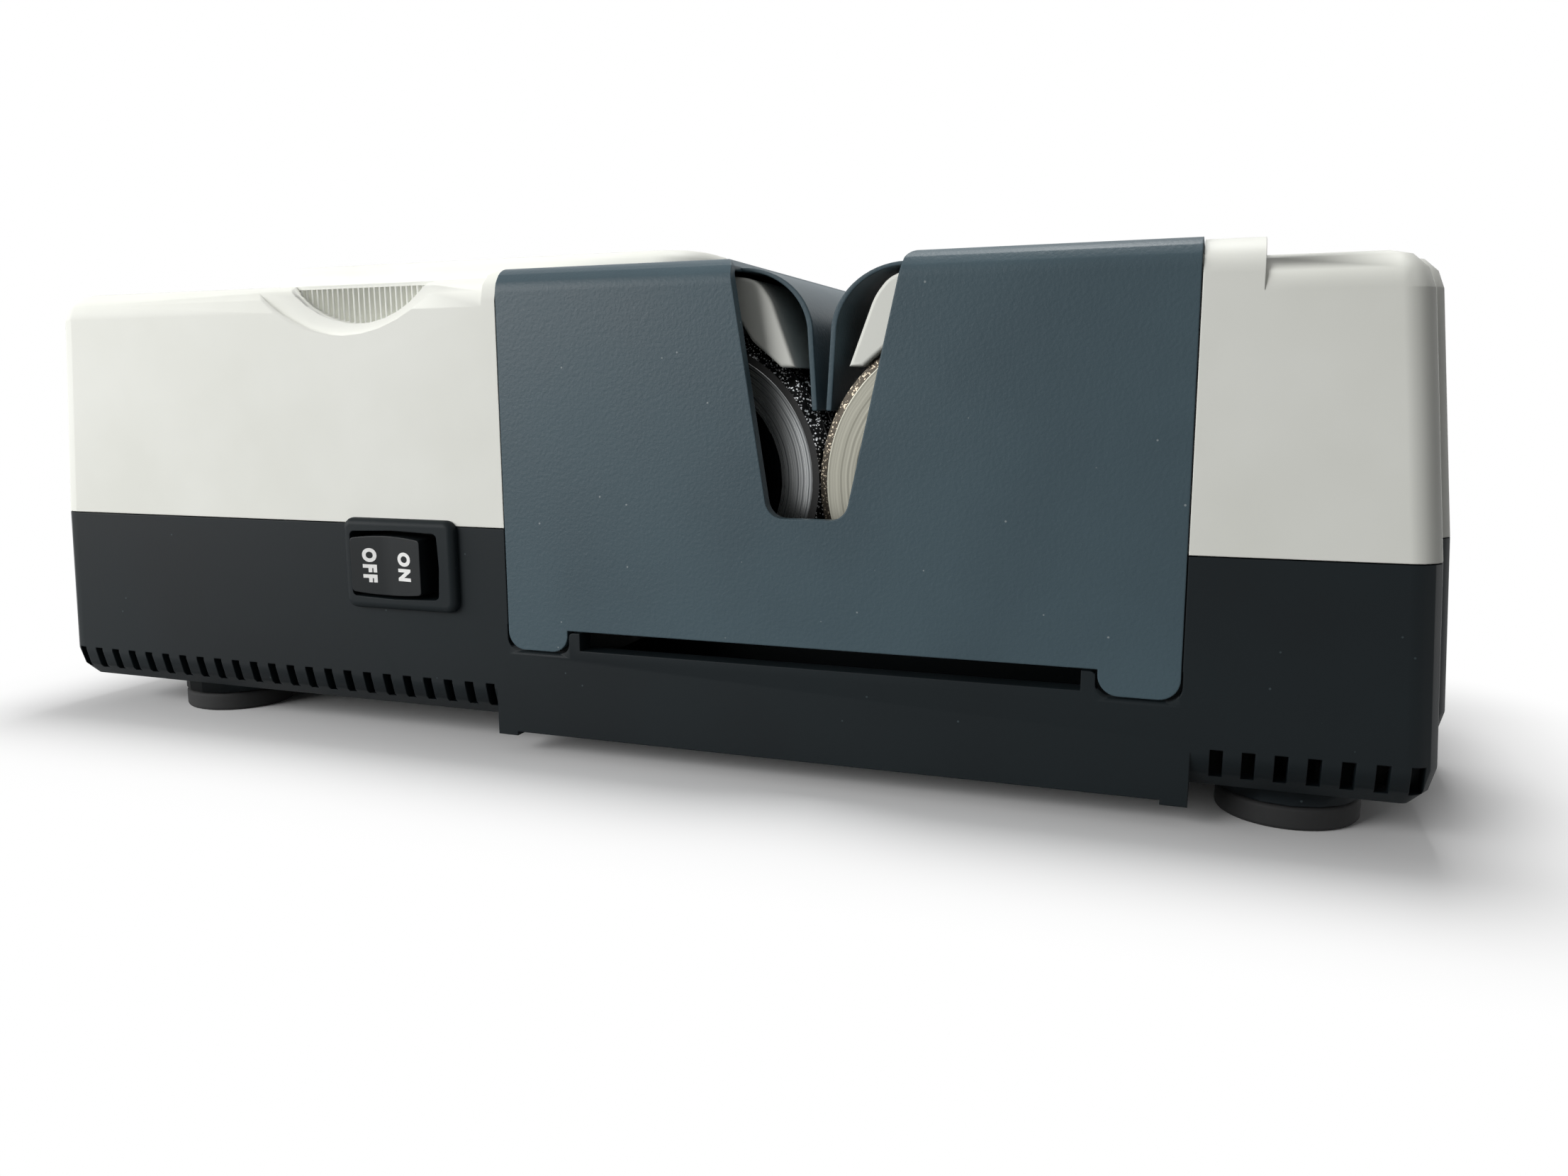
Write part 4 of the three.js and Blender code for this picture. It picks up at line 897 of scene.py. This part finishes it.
    def build(self) -> None:
        """Copies both mouldings as whole faces, fits them to the cover and switch, and shades them."""
        upper = merged_copy("upper_housing", "upper_shell")
        window = prism(
            "window_cutter",
            list(self.window),
            Plane.XZ,
            BODY_FRONT - PAST,
            BODY_FRONT + self.window_depth,
        )
        cut(upper, window, *self.grooves())
        smooth(upper)
        self.finish(upper, WHITE_ABS, Body.FIXED, Slot.WHITE, "upper_housing")
        lower = merged_copy("lower_housing", "lower_tub")
        self.cover_room(lower)
        self.switch_room(lower)
        smooth(lower)
        self.finish(lower, BLACK_ABS, Body.FIXED, Slot.BLACK, "lower_housing")


@dataclass
class GuideCover(SubAssembly):
    """The lift-off cover with its V notch and the two fins that guide the blade."""

    wall: float = 3.0
    edge_radius: float = 6.6
    rim_radius: float = 1.5
    # Tabs at the corners, which reach below the lip between them
    tab_width: float = 18.0
    tab_bottom: float = 29.7
    tab_radius: float = 4.8
    tab_gap_past: float = 5.0
    lip_level: float = 35.7
    # Half widths of the notch, left and right of the blade, at its top and its floor
    notch_top: tuple[float, float] = (21.15, 22.3)
    notch_bottom: tuple[float, float] = (11.3, 8.4)
    notch_floor: float = 67.5
    notch_radius: float = 4.8
    lip_radius: float = 2.5
    lip_steps: int = 9
    # Cut in the top that clears the housing's ridge
    ridge_half: float = 20.3
    ridge_end: float = 3.55
    # Fins: distance from the blade and level at the tip, the knee and the flare
    fin_set_back: float = 8.0
    fin_thickness: float = 1.5
    fin_tip: tuple[float, float] = (1.05, 93.5)
    fin_knee: tuple[float, float] = (2.2, 112.0)
    fin_flare: tuple[float, float] = (20.8, 128.4)
    fin_edge: float = 23.5
    fin_below_top: float = 0.4
    fin_root: float = 1.0
    fin_steps: int = 16
    fin_round: float = 0.35

    def __post_init__(self) -> None:
        """Reads the cover's box off the frame, in millimetres."""
        low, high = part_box("guide_cover")
        self.left, self.front = low.x / MM, low.y / MM
        self.right, self.back, self.top = (v / MM for v in high)

    def notch(self) -> bpy.types.Object:
        """Draws the V as a cutter, its lips flared to a round."""
        above = self.top + 2 * self.wall
        outline: list[Corner] = []
        for side, top, floor in zip(Side, self.notch_top, self.notch_bottom):
            lean = (top - floor) / (self.top - self.notch_floor)
            edge = [(floor, self.notch_floor, self.notch_radius)]
            for k in range(1, self.lip_steps + 1):
                angle = math.pi / 2 * k / self.lip_steps
                out = self.lip_radius * (1 - math.cos(angle))
                rise = self.lip_radius * (1 - math.sin(angle))
                edge.append((top - lean * rise + out, self.top - rise))
            edge.append((edge[-1][0], above))
            placed = [(BLADE_X + side.value * c[0], *c[1:]) for c in edge]
            outline += reversed(placed) if side is Side.LEFT else placed
        near, far = self.front - self.wall, self.back + self.wall
        return prism("notch_cutter", rounded(outline), Plane.XZ, near, far)

    def channel(self) -> bpy.types.Object:
        """Draws the opening in the top that the fins close, as a cutter."""
        flare, flare_level = self.fin_flare
        edge, below = self.fin_edge + PAST, self.top - 2 * self.wall
        half = [(edge, self.top + PAST), (flare, flare_level), (flare, below)]
        outline = [(BLADE_X - gap, level) for gap, level in half]
        outline += [(BLADE_X + gap, level) for gap, level in reversed(half)]
        near, far = self.front + self.wall + PAST, self.back - self.wall - PAST
        return prism("channel_cutter", outline, Plane.XZ, near, far)

    def shell(self) -> bpy.types.Object:
        """Builds the bent sheet form of the cover and cuts its openings."""
        front, back, top, low, wall = self.front, self.back, self.top, self.tab_bottom, self.wall
        section = [
            (front, low),
            (front, top),
            (back, top),
            (back, low),
            (back - wall, low),
            (back - wall, top - wall),
            (front + wall, top - wall),
            (front + wall, low),
        ]
        piece = prism("guide_shell", section, Plane.YZ, self.left, self.right)
        middle = (front + back) / 2
        inside = (back - front - 2 * wall - PAST) / 2
        with editing(piece):
            pick_edges(lambda at, way, _: abs(way.x) > 0.9 and at.z > (top - NEAR) * MM)
            round_edges(self.edge_radius, 8)
            pick_edges(
                lambda at, way, _: abs(way.x) > 0.9
                and abs(at.z - (top - wall) * MM) < NEAR * MM
                and abs(at.y - middle * MM) > inside * MM
            )
            round_edges(self.edge_radius - wall, 5)
        inner_left, inner_right = self.left + self.tab_width, self.right - self.tab_width
        between = rectangle(inner_left, inner_right, low - self.tab_gap_past, self.lip_level)
        half = self.ridge_half
        ridge = rectangle(middle - half, middle + half, top - 2 * wall, top + PAST)
        cut(
            piece,
            prism("between_tabs", between, Plane.XZ, front - wall, back + wall),
            self.notch(),
            self.channel(),
            prism("ridge_cutter", ridge, Plane.YZ, self.left - PAST, self.ridge_end),
        )
        corners = [self.left, inner_left, inner_right, self.right]
        with editing(piece):
            pick_edges(
                lambda at, way, _: abs(way.y) > 0.9
                and at.z < (low + NEAR) * MM
                and min(abs(at.x / MM - c) for c in corners) < NEAR
            )
            round_edges(self.tab_radius, 10)
        soften(piece, self.rim_radius, 3)
        return piece

    def fin(self, side: Side) -> bpy.types.Object:
        """Builds one curved fin.

        Args:
            side: Left or right of the blade.

        Returns:
            The fin.
        """
        (tip, tip_level), (knee, knee_level) = self.fin_tip, self.fin_knee
        flare, flare_level = self.fin_flare

        def curve(inset: float, rise: float) -> list[tuple[float, float]]:
            """Quarter of an ellipse from the knee to the flare."""
            angles = [math.pi / 2 * k / self.fin_steps for k in range(self.fin_steps + 1)]
            return [
                (flare - (flare - knee - inset) * math.cos(a), knee_level + rise * math.sin(a))
                for a in angles
            ]

        under = flare_level - self.fin_root
        half = [
            (tip, tip_level),
            *curve(0, flare_level - knee_level),
            (self.fin_edge, self.top - self.fin_below_top),
            (self.fin_edge + self.fin_root, under),
            *reversed(curve(self.fin_thickness, under - knee_level)),
            (tip + self.fin_thickness, tip_level),
        ]
        outline = [(BLADE_X + side.value * gap, level) for gap, level in half]
        near, far = self.front + self.fin_set_back, self.back - self.fin_set_back
        piece = prism(f"{side.name.lower()}_guide_fin", outline, Plane.XZ, near, far)
        soften(piece, self.fin_round, 2)
        return piece

    def build(self) -> None:
        """Builds the shell and both fins."""
        shell = self.shell()
        smooth(shell)
        self.finish(shell, SLATE_ABS, Body.COVER, Slot.SLATE, "guide_cover")
        for side in Side:
            fin = self.fin(side)
            smooth(fin)
            self.finish(fin, SLATE_ABS, Body.COVER, Slot.SLATE)


@dataclass
class WheelHoods(SubAssembly):
    """The two white hoods that lean over the discs."""

    corner_round: float = 1.2
    # Distance from the blade, level and corner radius along the top and back along the underside
    upper_line: tuple[Corner, ...] = (
        (6.8, 104.1),
        (13.0, 120.6, 14.0),
        (17.0, 125.6, 8.0),
        (24.0, 126.5, 10.0),
        (46.7, 126.5),
    )
    lower_line: tuple[Corner, ...] = (
        (46.7, 119.0),
        (23.6, 119.0, 2.0),
        (18.35, 110.6, 5.0),
        (10.6, 104.1, 1.0),
    )

    def hood(self, side: Side) -> bpy.types.Object:
        """Builds one hood: its lip over the discs, its underside in flats that clear them.

        Args:
            side: Left or right of the blade.

        Returns:
            The hood.
        """
        half = rounded([*self.upper_line, *self.lower_line], 6)
        outline = [(BLADE_X + side.value * gap, level) for gap, level in half]
        low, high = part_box(f"{side.name.lower()}_wheel_hood")
        name = f"{side.name.lower()}_hood"
        piece = prism(name, outline, Plane.XZ, low.y / MM, high.y / MM)
        with editing(piece):
            ends = (low.y, high.y)
            pick_edges(
                lambda at, way, angle: angle > SHARP
                and min(abs(at.y - end) for end in ends) < CLOSE * MM
            )
            round_edges(self.corner_round, 4)
        return piece

    def build(self) -> None:
        """Builds both hoods."""
        for side in Side:
            hood = self.hood(side)
            smooth(hood)
            node = f"{side.name.lower()}_wheel_hood"
            self.finish(hood, WHITE_ABS, Body.FIXED, Slot.WHITE, node)


@dataclass
class DiscStack(SubAssembly):
    """Four grinding discs on their shaft, with the clamp nut."""

    side: Side
    centre: tuple[float, float]
    ring_inner: float
    plate: TurnedSteel
    crust: AbrasiveGrit
    grit_inner: float
    bond_outer: float
    rim_chamfer: float
    radius: float = 38.5
    width: float = 3.2
    # The sunk middle of the cup, the hub behind it and the bore
    cup_slope: float = 1.2
    cup_depth: float = 2.2
    hub_radius: float = 9.0
    bore: float = 5.3
    # How far the plate reaches under the rim and stays short of its back
    plate_step: float = 0.5
    plate_short: float = 0.2
    plate_round: float = 0.2
    # Rear chamfer of the crust, fronts of the bond, and the seam between neighbours
    crust_edge: float = 0.3
    crust_front: float = 0.12
    bond_front: tuple[float, float] = (0.1, 0.25)
    seam: float = 0.05
    count: int = 4
    steps: int = 96

    def ring(
        self, node: str, suffix: str, profile: list[tuple[float, float]]
    ) -> bpy.types.Object:
        """Turns one part of a disc.

        Args:
            node: The CAD node of the disc.
            suffix: What the part's name ends with.
            profile: Radius and depth pairs, with the depth from the disc's front face.

        Returns:
            The part.
        """
        low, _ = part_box(node)
        x, z = self.centre
        centre = Vector((x * MM, low.y, z * MM))
        return turned(f"{node}_{suffix}", profile, centre, Vector((0, 1, 0)), self.steps)

    def disc(self, index: int) -> None:
        """Builds a steel cup, its bond and its abrasive rim.

        Args:
            index: The disc's number, from 1 at the front.
        """
        node = f"{self.side.name.lower()}_disc_{index}"
        body = Body.LEFT if self.side is Side.LEFT else Body.RIGHT
        low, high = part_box(node)
        hub_end = (high.y - low.y) / MM
        plate_back = self.width - self.plate_short
        plate = self.ring(
            node,
            "plate",
            [
                (self.bore, self.cup_depth),
                (self.ring_inner - self.cup_slope, self.cup_depth),
                (self.ring_inner, 0),
                (self.grit_inner, 0),
                (self.grit_inner + self.plate_step, self.plate_step),
                (self.grit_inner + self.plate_step, plate_back),
                (self.hub_radius, plate_back),
                (self.hub_radius, hub_end),
                (self.bore, hub_end),
            ],
        )
        soften(plate, self.plate_round, 2, least=30.0)
        smooth(plate)
        self.finish(plate, self.plate, body, Slot.DISC, node)
        if self.bond_outer > self.grit_inner:
            inner, outer = self.grit_inner + self.seam, self.bond_outer
            front_in, front_out = self.bond_front
            sides = [(inner, front_in), (outer, front_out), (outer, self.width), (inner, self.width)]
            bond = self.ring(node, "bond", sides)
            smooth(bond)
            self.finish(bond, RESIN_BOND, body, Slot.DISC)
        inner = self.bond_outer + self.seam
        crust = self.ring(
            node,
            "crust",
            [
                (inner, self.crust_front),
                (self.radius, self.rim_chamfer),
                (self.radius, self.width - self.crust_edge),
                (self.radius - self.crust_edge, self.width),
                (inner, self.width),
            ],
        )
        smooth(crust)
        self.finish(crust, self.crust, body, Slot.DISC)

    def build(self) -> None:
        """Builds the discs, and dresses the shaft, nut and bearings."""
        for index in range(1, self.count + 1):
            self.disc(index)
        name = self.side.name.lower()
        self.dress(GROUND_STEEL, f"{name}_wheel_shaft")
        self.dress(ZINC_STEEL, f"{name}_clamp_nut")
        self.dress(GROUND_STEEL, f"{name}_middle_bearing", f"{name}_rear_bearing")


@dataclass
class RockerSwitch(SubAssembly):
    """The switch: a raised bezel with a sleeve behind it, and a rocker marked OFF and ON."""

    front: float = -66.262
    back: float = -52.2
    # Left, right, bottom and top of the bezel and of the opening in it
    plate: tuple[float, float, float, float] = (-87.0, -50.4, 38.6, 64.1)
    opening: tuple[float, float, float, float] = (-84.3, -55.6, 42.2, 60.4)
    plate_corner: float = 3.0
    plate_round: float = 1.9
    sleeve_wall: float = 1.2
    sleeve_overlap: float = 0.3
    opening_bulge: float = 0.5
    opening_corner: float = 1.4
    opening_round: float = 0.25
    # Paddle: its ends, its middle's level, its half height and how far its sides bow out
    paddle: tuple[float, float] = (-83.8, -59.9)
    paddle_level: float = 51.1
    paddle_half: float = 7.5
    paddle_bulge: float = 0.8
    paddle_steps: int = 12
    paddle_back: float = -58.0
    paddle_corner: float = 0.9
    paddle_round: float = 0.55
    # Where the face lies at the left end, at the crease and at the right end
    face: tuple[float, float, float] = (-67.0, -66.3, -68.1)
    face_ahead: float = 4.0
    crease_radius: float = 18.0
    letter_size: float = 5.7
    letter_bold: float = 0.34
    letter_squeeze: float = 0.8
    letter_spacing: float = 1.3
    letter_thickness: float = 0.08
    letter_place: float = 6.0

    def frame(self) -> bpy.types.Object:
        """Builds the bezel plate with its sleeve and cuts the rocker's opening through both."""
        corners = rounded(rectangle(*self.plate, self.plate_corner))
        piece = prism("switch_frame", corners, Plane.XZ, self.front, BODY_FRONT)
        with editing(piece):
            front = self.front * MM
            pick_edges(lambda at, way, angle: abs(at.y - front) < CLOSE * MM and angle > SHARP)
            round_edges(self.plate_round, 5)
        left, right, low, high = self.opening
        wall = self.sleeve_wall
        behind = rectangle(left - wall, right + wall, low - wall, high + wall)
        start = BODY_FRONT - self.sleeve_overlap
        join(piece, prism("switch_sleeve", behind, Plane.XZ, start, self.back))
        bulge, corner = self.opening_bulge, self.opening_corner
        hole = [
            (left, low, corner),
            ((left + right) / 2, low - bulge),
            (right, low, corner),
            (right + bulge, (low + high) / 2),
            (right, high, corner),
            ((left + right) / 2, high + bulge),
            (left, high, corner),
        ]
        cut(piece, prism("switch_hole", rounded(hole), Plane.XZ, self.front - PAST, self.back + PAST))
        soften(piece, self.opening_round, 2, least=60.0)
        return piece

    def rocker(self) -> bpy.types.Object:
        """Builds the barrel-sided paddle and hollows its face in two flats."""
        left, right = self.paddle
        level, half, bulge = self.paddle_level, self.paddle_half, self.paddle_bulge
        steps = self.paddle_steps
        upper = []
        for k in range(steps + 1):
            share = 2 * k / steps - 1
            upper.append((left + (right - left) * k / steps, half + bulge * (1 - share * share)))
        edge = [(x, level + rise) for x, rise in upper]
        edge += [(x, level - rise) for x, rise in reversed(upper)]
        piece = prism("rocker_paddle", edge, Plane.XZ, min(self.face) - PAST, self.paddle_back)
        with editing(piece):
            ends = (left * MM, right * MM)
            pick_edges(
                lambda at, way, _: abs(way.y) > 0.9
                and min(abs(at.x - end) for end in ends) < CLOSE * MM
            )
            round_edges(self.paddle_corner, 4)
        before, middle, after = self.face
        slope = 2 * PAST / (right - left)
        ahead = min(self.face) - self.face_ahead
        shape = [
            (left - PAST, ahead),
            (left - PAST, before - (middle - before) * slope),
            ((left + right) / 2, middle, self.crease_radius),
            (right + PAST, after - (middle - after) * slope),
            (right + PAST, ahead),
        ]
        low, high = level - 2 * half, level + 2 * half
        cut(piece, prism("face_cutter", rounded(shape, 10), Plane.XY, low, high))
        soften(piece, self.paddle_round, 3)
        return piece

    def letters(self, text: str, side: Side) -> bpy.types.Object:
        """Prints a word on one half of the rocker.

        Args:
            text: The word.
            side: The half of the rocker that it is on.

        Returns:
            The word as a thin mesh.
        """
        left, right = self.paddle
        before, middle, after = self.face
        end = before if side is Side.LEFT else after
        share = self.letter_place / ((right - left) / 2)
        x = (left + right) / 2 + side.value * self.letter_place
        y = middle + (end - middle) * share
        lean = math.atan2(side.value * (end - middle), (right - left) / 2)
        upright = Matrix(((0, 1, 0), (0, 0, -1), (-1, 0, 0)))
        release()
        bpy.ops.object.text_add(location=(x * MM, y * MM, self.paddle_level * MM))
        piece = bpy.context.object
        piece.rotation_euler = (Matrix.Rotation(lean, 3, "Z") @ upright).to_euler()
        words = piece.data
        words.body = text
        words.size = self.letter_size * MM
        words.align_x, words.align_y = "CENTER", "CENTER"
        words.offset = self.letter_bold * MM
        words.extrude = self.letter_thickness * MM
        words.space_character = self.letter_spacing
        piece.scale.x = self.letter_squeeze
        piece.name = f"print_{text.lower()}"
        bpy.ops.object.convert(target="MESH")
        bpy.ops.object.transform_apply(location=True, rotation=True, scale=True)
        return bpy.context.object

    def build(self) -> None:
        """Builds the frame, the paddle and its two words."""
        bezel = self.frame()
        smooth(bezel)
        self.finish(bezel, BLACK_ABS, Body.FIXED, Slot.BLACK, "switch_bezel")
        rocker = self.rocker()
        smooth(rocker)
        self.finish(rocker, ROCKER_ABS, Body.ROCKER, Slot.BLACK, "switch_rocker")
        for text, side in (("OFF", Side.LEFT), ("ON", Side.RIGHT)):
            self.finish(self.letters(text, side), PAD_PRINT, Body.ROCKER, Slot.WHITE)


@dataclass
class Feet(SubAssembly):
    """Four rubber feet and the screws in them."""

    radius: float = 16.0
    height: float = 5.5
    round_edge: float = 1.0
    well_radius: float = 5.0
    well_depth: float = 3.0
    bore: float = 2.1
    steps: int = 64

    def build(self) -> None:
        """Builds a foot at each corner of the frame, and dresses the screws there."""
        for place in ("front_left", "front_right", "rear_left", "rear_right"):
            node = f"foot_{place}"
            low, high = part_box(node)
            centre = Vector(((low.x + high.x) / 2, (low.y + high.y) / 2, 0))
            foot = turned(
                f"rubber_{node}",
                [
                    (self.well_radius, 0),
                    (self.radius, 0),
                    (self.radius, self.height),
                    (self.bore, self.height),
                    (self.bore, self.well_depth),
                    (self.well_radius, self.well_depth),
                ],
                centre,
                Vector((0, 0, 1)),
                self.steps,
            )
            soften(foot, self.round_edge, 3)
            smooth(foot)
            self.finish(foot, FOOT_RUBBER, Body.FIXED, Slot.RUBBER, node)
            self.dress(ZINC_STEEL, f"foot_screw_{place}", f"case_screw_{place}")


@dataclass
class Machinery(SubAssembly):
    """Everything inside that the housings hide: plates, gears, belt, motor and wiring parts."""

    def build(self) -> None:
        """Dresses the CAD nodes of the drive."""
        self.dress(ROLLED_STEEL, "middle_bearing_plate", "rear_bearing_plate", "capacitor_clamp")
        self.dress(NYLON, "left_gear", "left_idler_gear", "right_idler_gear", "right_gear")
        self.dress(NYLON, "driven_pulley", "drive_pulley", "cooling_fan")
        self.dress(NYLON, "run_capacitor", "terminal_block")
        self.dress(BELT_RUBBER, "drive_belt", "cord_gland")
        self.dress(LAMINATION, "motor_stator_core")
        self.dress(WOUND_COPPER, "motor_winding_front", "motor_winding_rear")
        self.dress(CAST_BELL, "motor_front_bell", "motor_rear_bell")
        self.dress(GROUND_STEEL, "motor_front_bearing", "motor_rear_bearing", "motor_rotor")
        self.dress(BLACK_ABS, "motor_cradle", "filings_tray")


@dataclass(frozen=True)
class Lamp:
    """A square soft lamp that points at the sharpener, in metres and watts."""

    name: str
    place: tuple[float, float, float]
    size: float
    power: float
    target: tuple[float, float, float] = (0.0, 0.0, 0.06)

    def hang(self) -> None:
        """Adds the lamp to the scene."""
        data = bpy.data.lights.new(self.name, "AREA")
        data.size = self.size
        data.energy = self.power
        piece = bpy.data.objects.new(self.name, data)
        bpy.context.scene.collection.objects.link(piece)
        way = Vector(self.target) - Vector(self.place)
        piece.location = self.place
        piece.rotation_euler = way.to_track_quat("-Z", "Y").to_euler()


@dataclass
class Studio:
    """The camera of the photograph, a pale floor and soft lamps."""

    # Camera: its place in metres, its lens and film in millimetres, its turns in degrees
    place: tuple[float, float, float] = (0.14225, -0.33266, 0.097)
    lens: float = 27.032
    sensor: float = 36.0
    yaw: float = 20.03
    pitch: float = 80.77
    roll: float = -0.23
    nearest: float = 0.01
    # Floor: its side, half of the ground that the body covers and the shadow's reach beyond it
    floor_size: float = 12.0
    footprint: tuple[float, float, float] = (0.185, 0.06, 0.0)
    shadow_reach: float = 0.075
    paper: str = "f2f2f2"
    room_light: float = 0.2
    lamps: tuple[Lamp, ...] = (
        Lamp("back_lamp", (0.0, 0.2, 1.15), 0.35, 7.0),
        Lamp("front_lamp", (-0.85, -1.1, 0.5), 0.8, 15.5),
        Lamp("left_lamp", (-1.3, -0.5, 0.4), 0.6, 4.0),
    )

    def camera(self) -> None:
        """Sets the camera up."""
        data = bpy.data.cameras.new("camera")
        data.lens = self.lens
        data.sensor_width = self.sensor
        data.clip_start = self.nearest
        piece = bpy.data.objects.new("camera", data)
        bpy.context.scene.collection.objects.link(piece)
        turns = (
            Matrix.Rotation(math.radians(self.yaw), 3, "Z")
            @ Matrix.Rotation(math.radians(self.pitch), 3, "X")
            @ Matrix.Rotation(math.radians(self.roll), 3, "Z")
        )
        piece.location = self.place
        piece.rotation_euler = turns.to_euler()
        bpy.context.scene.camera = piece

    def seen_directly(self, tree: bpy.types.NodeTree) -> bpy.types.NodeSocket:
        """Gives 1 where a ray comes from the camera, a mirror or glass."""
        path = add_node(tree, "ShaderNodeLightPath")
        first = add_node(
            tree,
            "ShaderNodeMath",
            {0: path.outputs["Is Camera Ray"], 1: path.outputs["Is Glossy Ray"]},
            operation="MAXIMUM",
        )
        return add_node(
            tree,
            "ShaderNodeMath",
            {0: first.outputs["Value"], 1: path.outputs["Is Transmission Ray"]},
            operation="MAXIMUM",
        ).outputs["Value"]

    def world(self) -> None:
        """Lights the room evenly and shows it white."""
        world = bpy.data.worlds.new("studio_room")
        world.use_nodes = True
        tree = world.node_tree
        tree.nodes.clear()
        white = linear("ffffff")
        room = add_node(tree, "ShaderNodeBackground", {"Color": white, "Strength": self.room_light})
        seen = add_node(tree, "ShaderNodeBackground", {"Color": white, "Strength": 1.0})
        both = add_node(
            tree,
            "ShaderNodeMixShader",
            {0: self.seen_directly(tree), 1: room.outputs[0], 2: seen.outputs[0]},
        )
        add_node(tree, "ShaderNodeOutputWorld", {"Surface": both.outputs[0]})
        bpy.context.scene.world = world

    def floor(self) -> None:
        """Lays a pale floor that turns white away from the shadow."""
        bpy.ops.mesh.primitive_plane_add(size=self.floor_size)
        piece = bpy.context.object
        piece.name = "floor"
        material = bpy.data.materials.new("paper_floor")
        material.use_nodes = True
        tree = material.node_tree
        tree.nodes.clear()
        paper = add_node(tree, "ShaderNodeBsdfDiffuse", {"Color": linear(self.paper)})
        glow = add_node(
            tree,
            "ShaderNodeEmission",
            {"Color": linear("ffffff"), "Strength": self.seen_directly(tree)},
        )
        # The share of glow grows with the distance from the body's footprint
        place = add_node(tree, "ShaderNodeTexCoord").outputs["Object"]
        mirrored = add_node(tree, "ShaderNodeVectorMath", {0: place}, operation="ABSOLUTE")
        beyond = add_node(
            tree,
            "ShaderNodeVectorMath",
            {0: mirrored.outputs["Vector"], 1: self.footprint},
            operation="SUBTRACT",
        )
        outside = add_node(
            tree,
            "ShaderNodeVectorMath",
            {0: beyond.outputs["Vector"], 1: (0.0, 0.0, 0.0)},
            operation="MAXIMUM",
        )
        away = add_node(
            tree, "ShaderNodeVectorMath", {0: outside.outputs["Vector"]}, operation="LENGTH"
        )
        share = add_node(
            tree,
            "ShaderNodeMapRange",
            {
                "Value": away.outputs["Value"],
                "From Min": 0.0,
                "From Max": self.shadow_reach,
                "To Min": 0.0,
                "To Max": 1.0,
            },
            interpolation_type="SMOOTHSTEP",
        )
        dim = add_node(
            tree,
            "ShaderNodeMixShader",
            {0: share.outputs["Result"], 1: paper.outputs[0], 2: glow.outputs[0]},
        )
        add_node(tree, "ShaderNodeOutputMaterial", {"Surface": dim.outputs[0]})
        piece.data.materials.append(material)

    def build(self) -> None:
        """Sets up the camera, the room, the floor and the lamps."""
        self.camera()
        self.world()
        self.floor()
        for lamp in self.lamps:
            lamp.hang()
        bpy.context.scene.view_settings.view_transform = "Standard"



def main() -> None:
    """Builds the studio and every sub-assembly in order."""
    logging.basicConfig(level=logging.INFO, format="%(message)s")
    Studio().build()
    groups: list[SubAssembly] = [
        Housing(),
        GuideCover(),
        WheelHoods(),
        DiscStack(
            Side.LEFT,
            LEFT_AXIS,
            ring_inner=25.5,
            plate=LEFT_PLATE,
            crust=LEFT_CRUST,
            grit_inner=33.7,
            bond_outer=35.5,
            rim_chamfer=1.9,
        ),
        DiscStack(
            Side.RIGHT,
            RIGHT_AXIS,
            ring_inner=29.3,
            plate=RIGHT_PLATE,
            crust=RIGHT_CRUST,
            grit_inner=36.6,
            bond_outer=36.6,
            rim_chamfer=0.7,
        ),
        RockerSwitch(),
        Feet(),
        Machinery(),
    ]
    for group in groups:
        group.build()
    release()


if __name__ == "__main__":
    main()
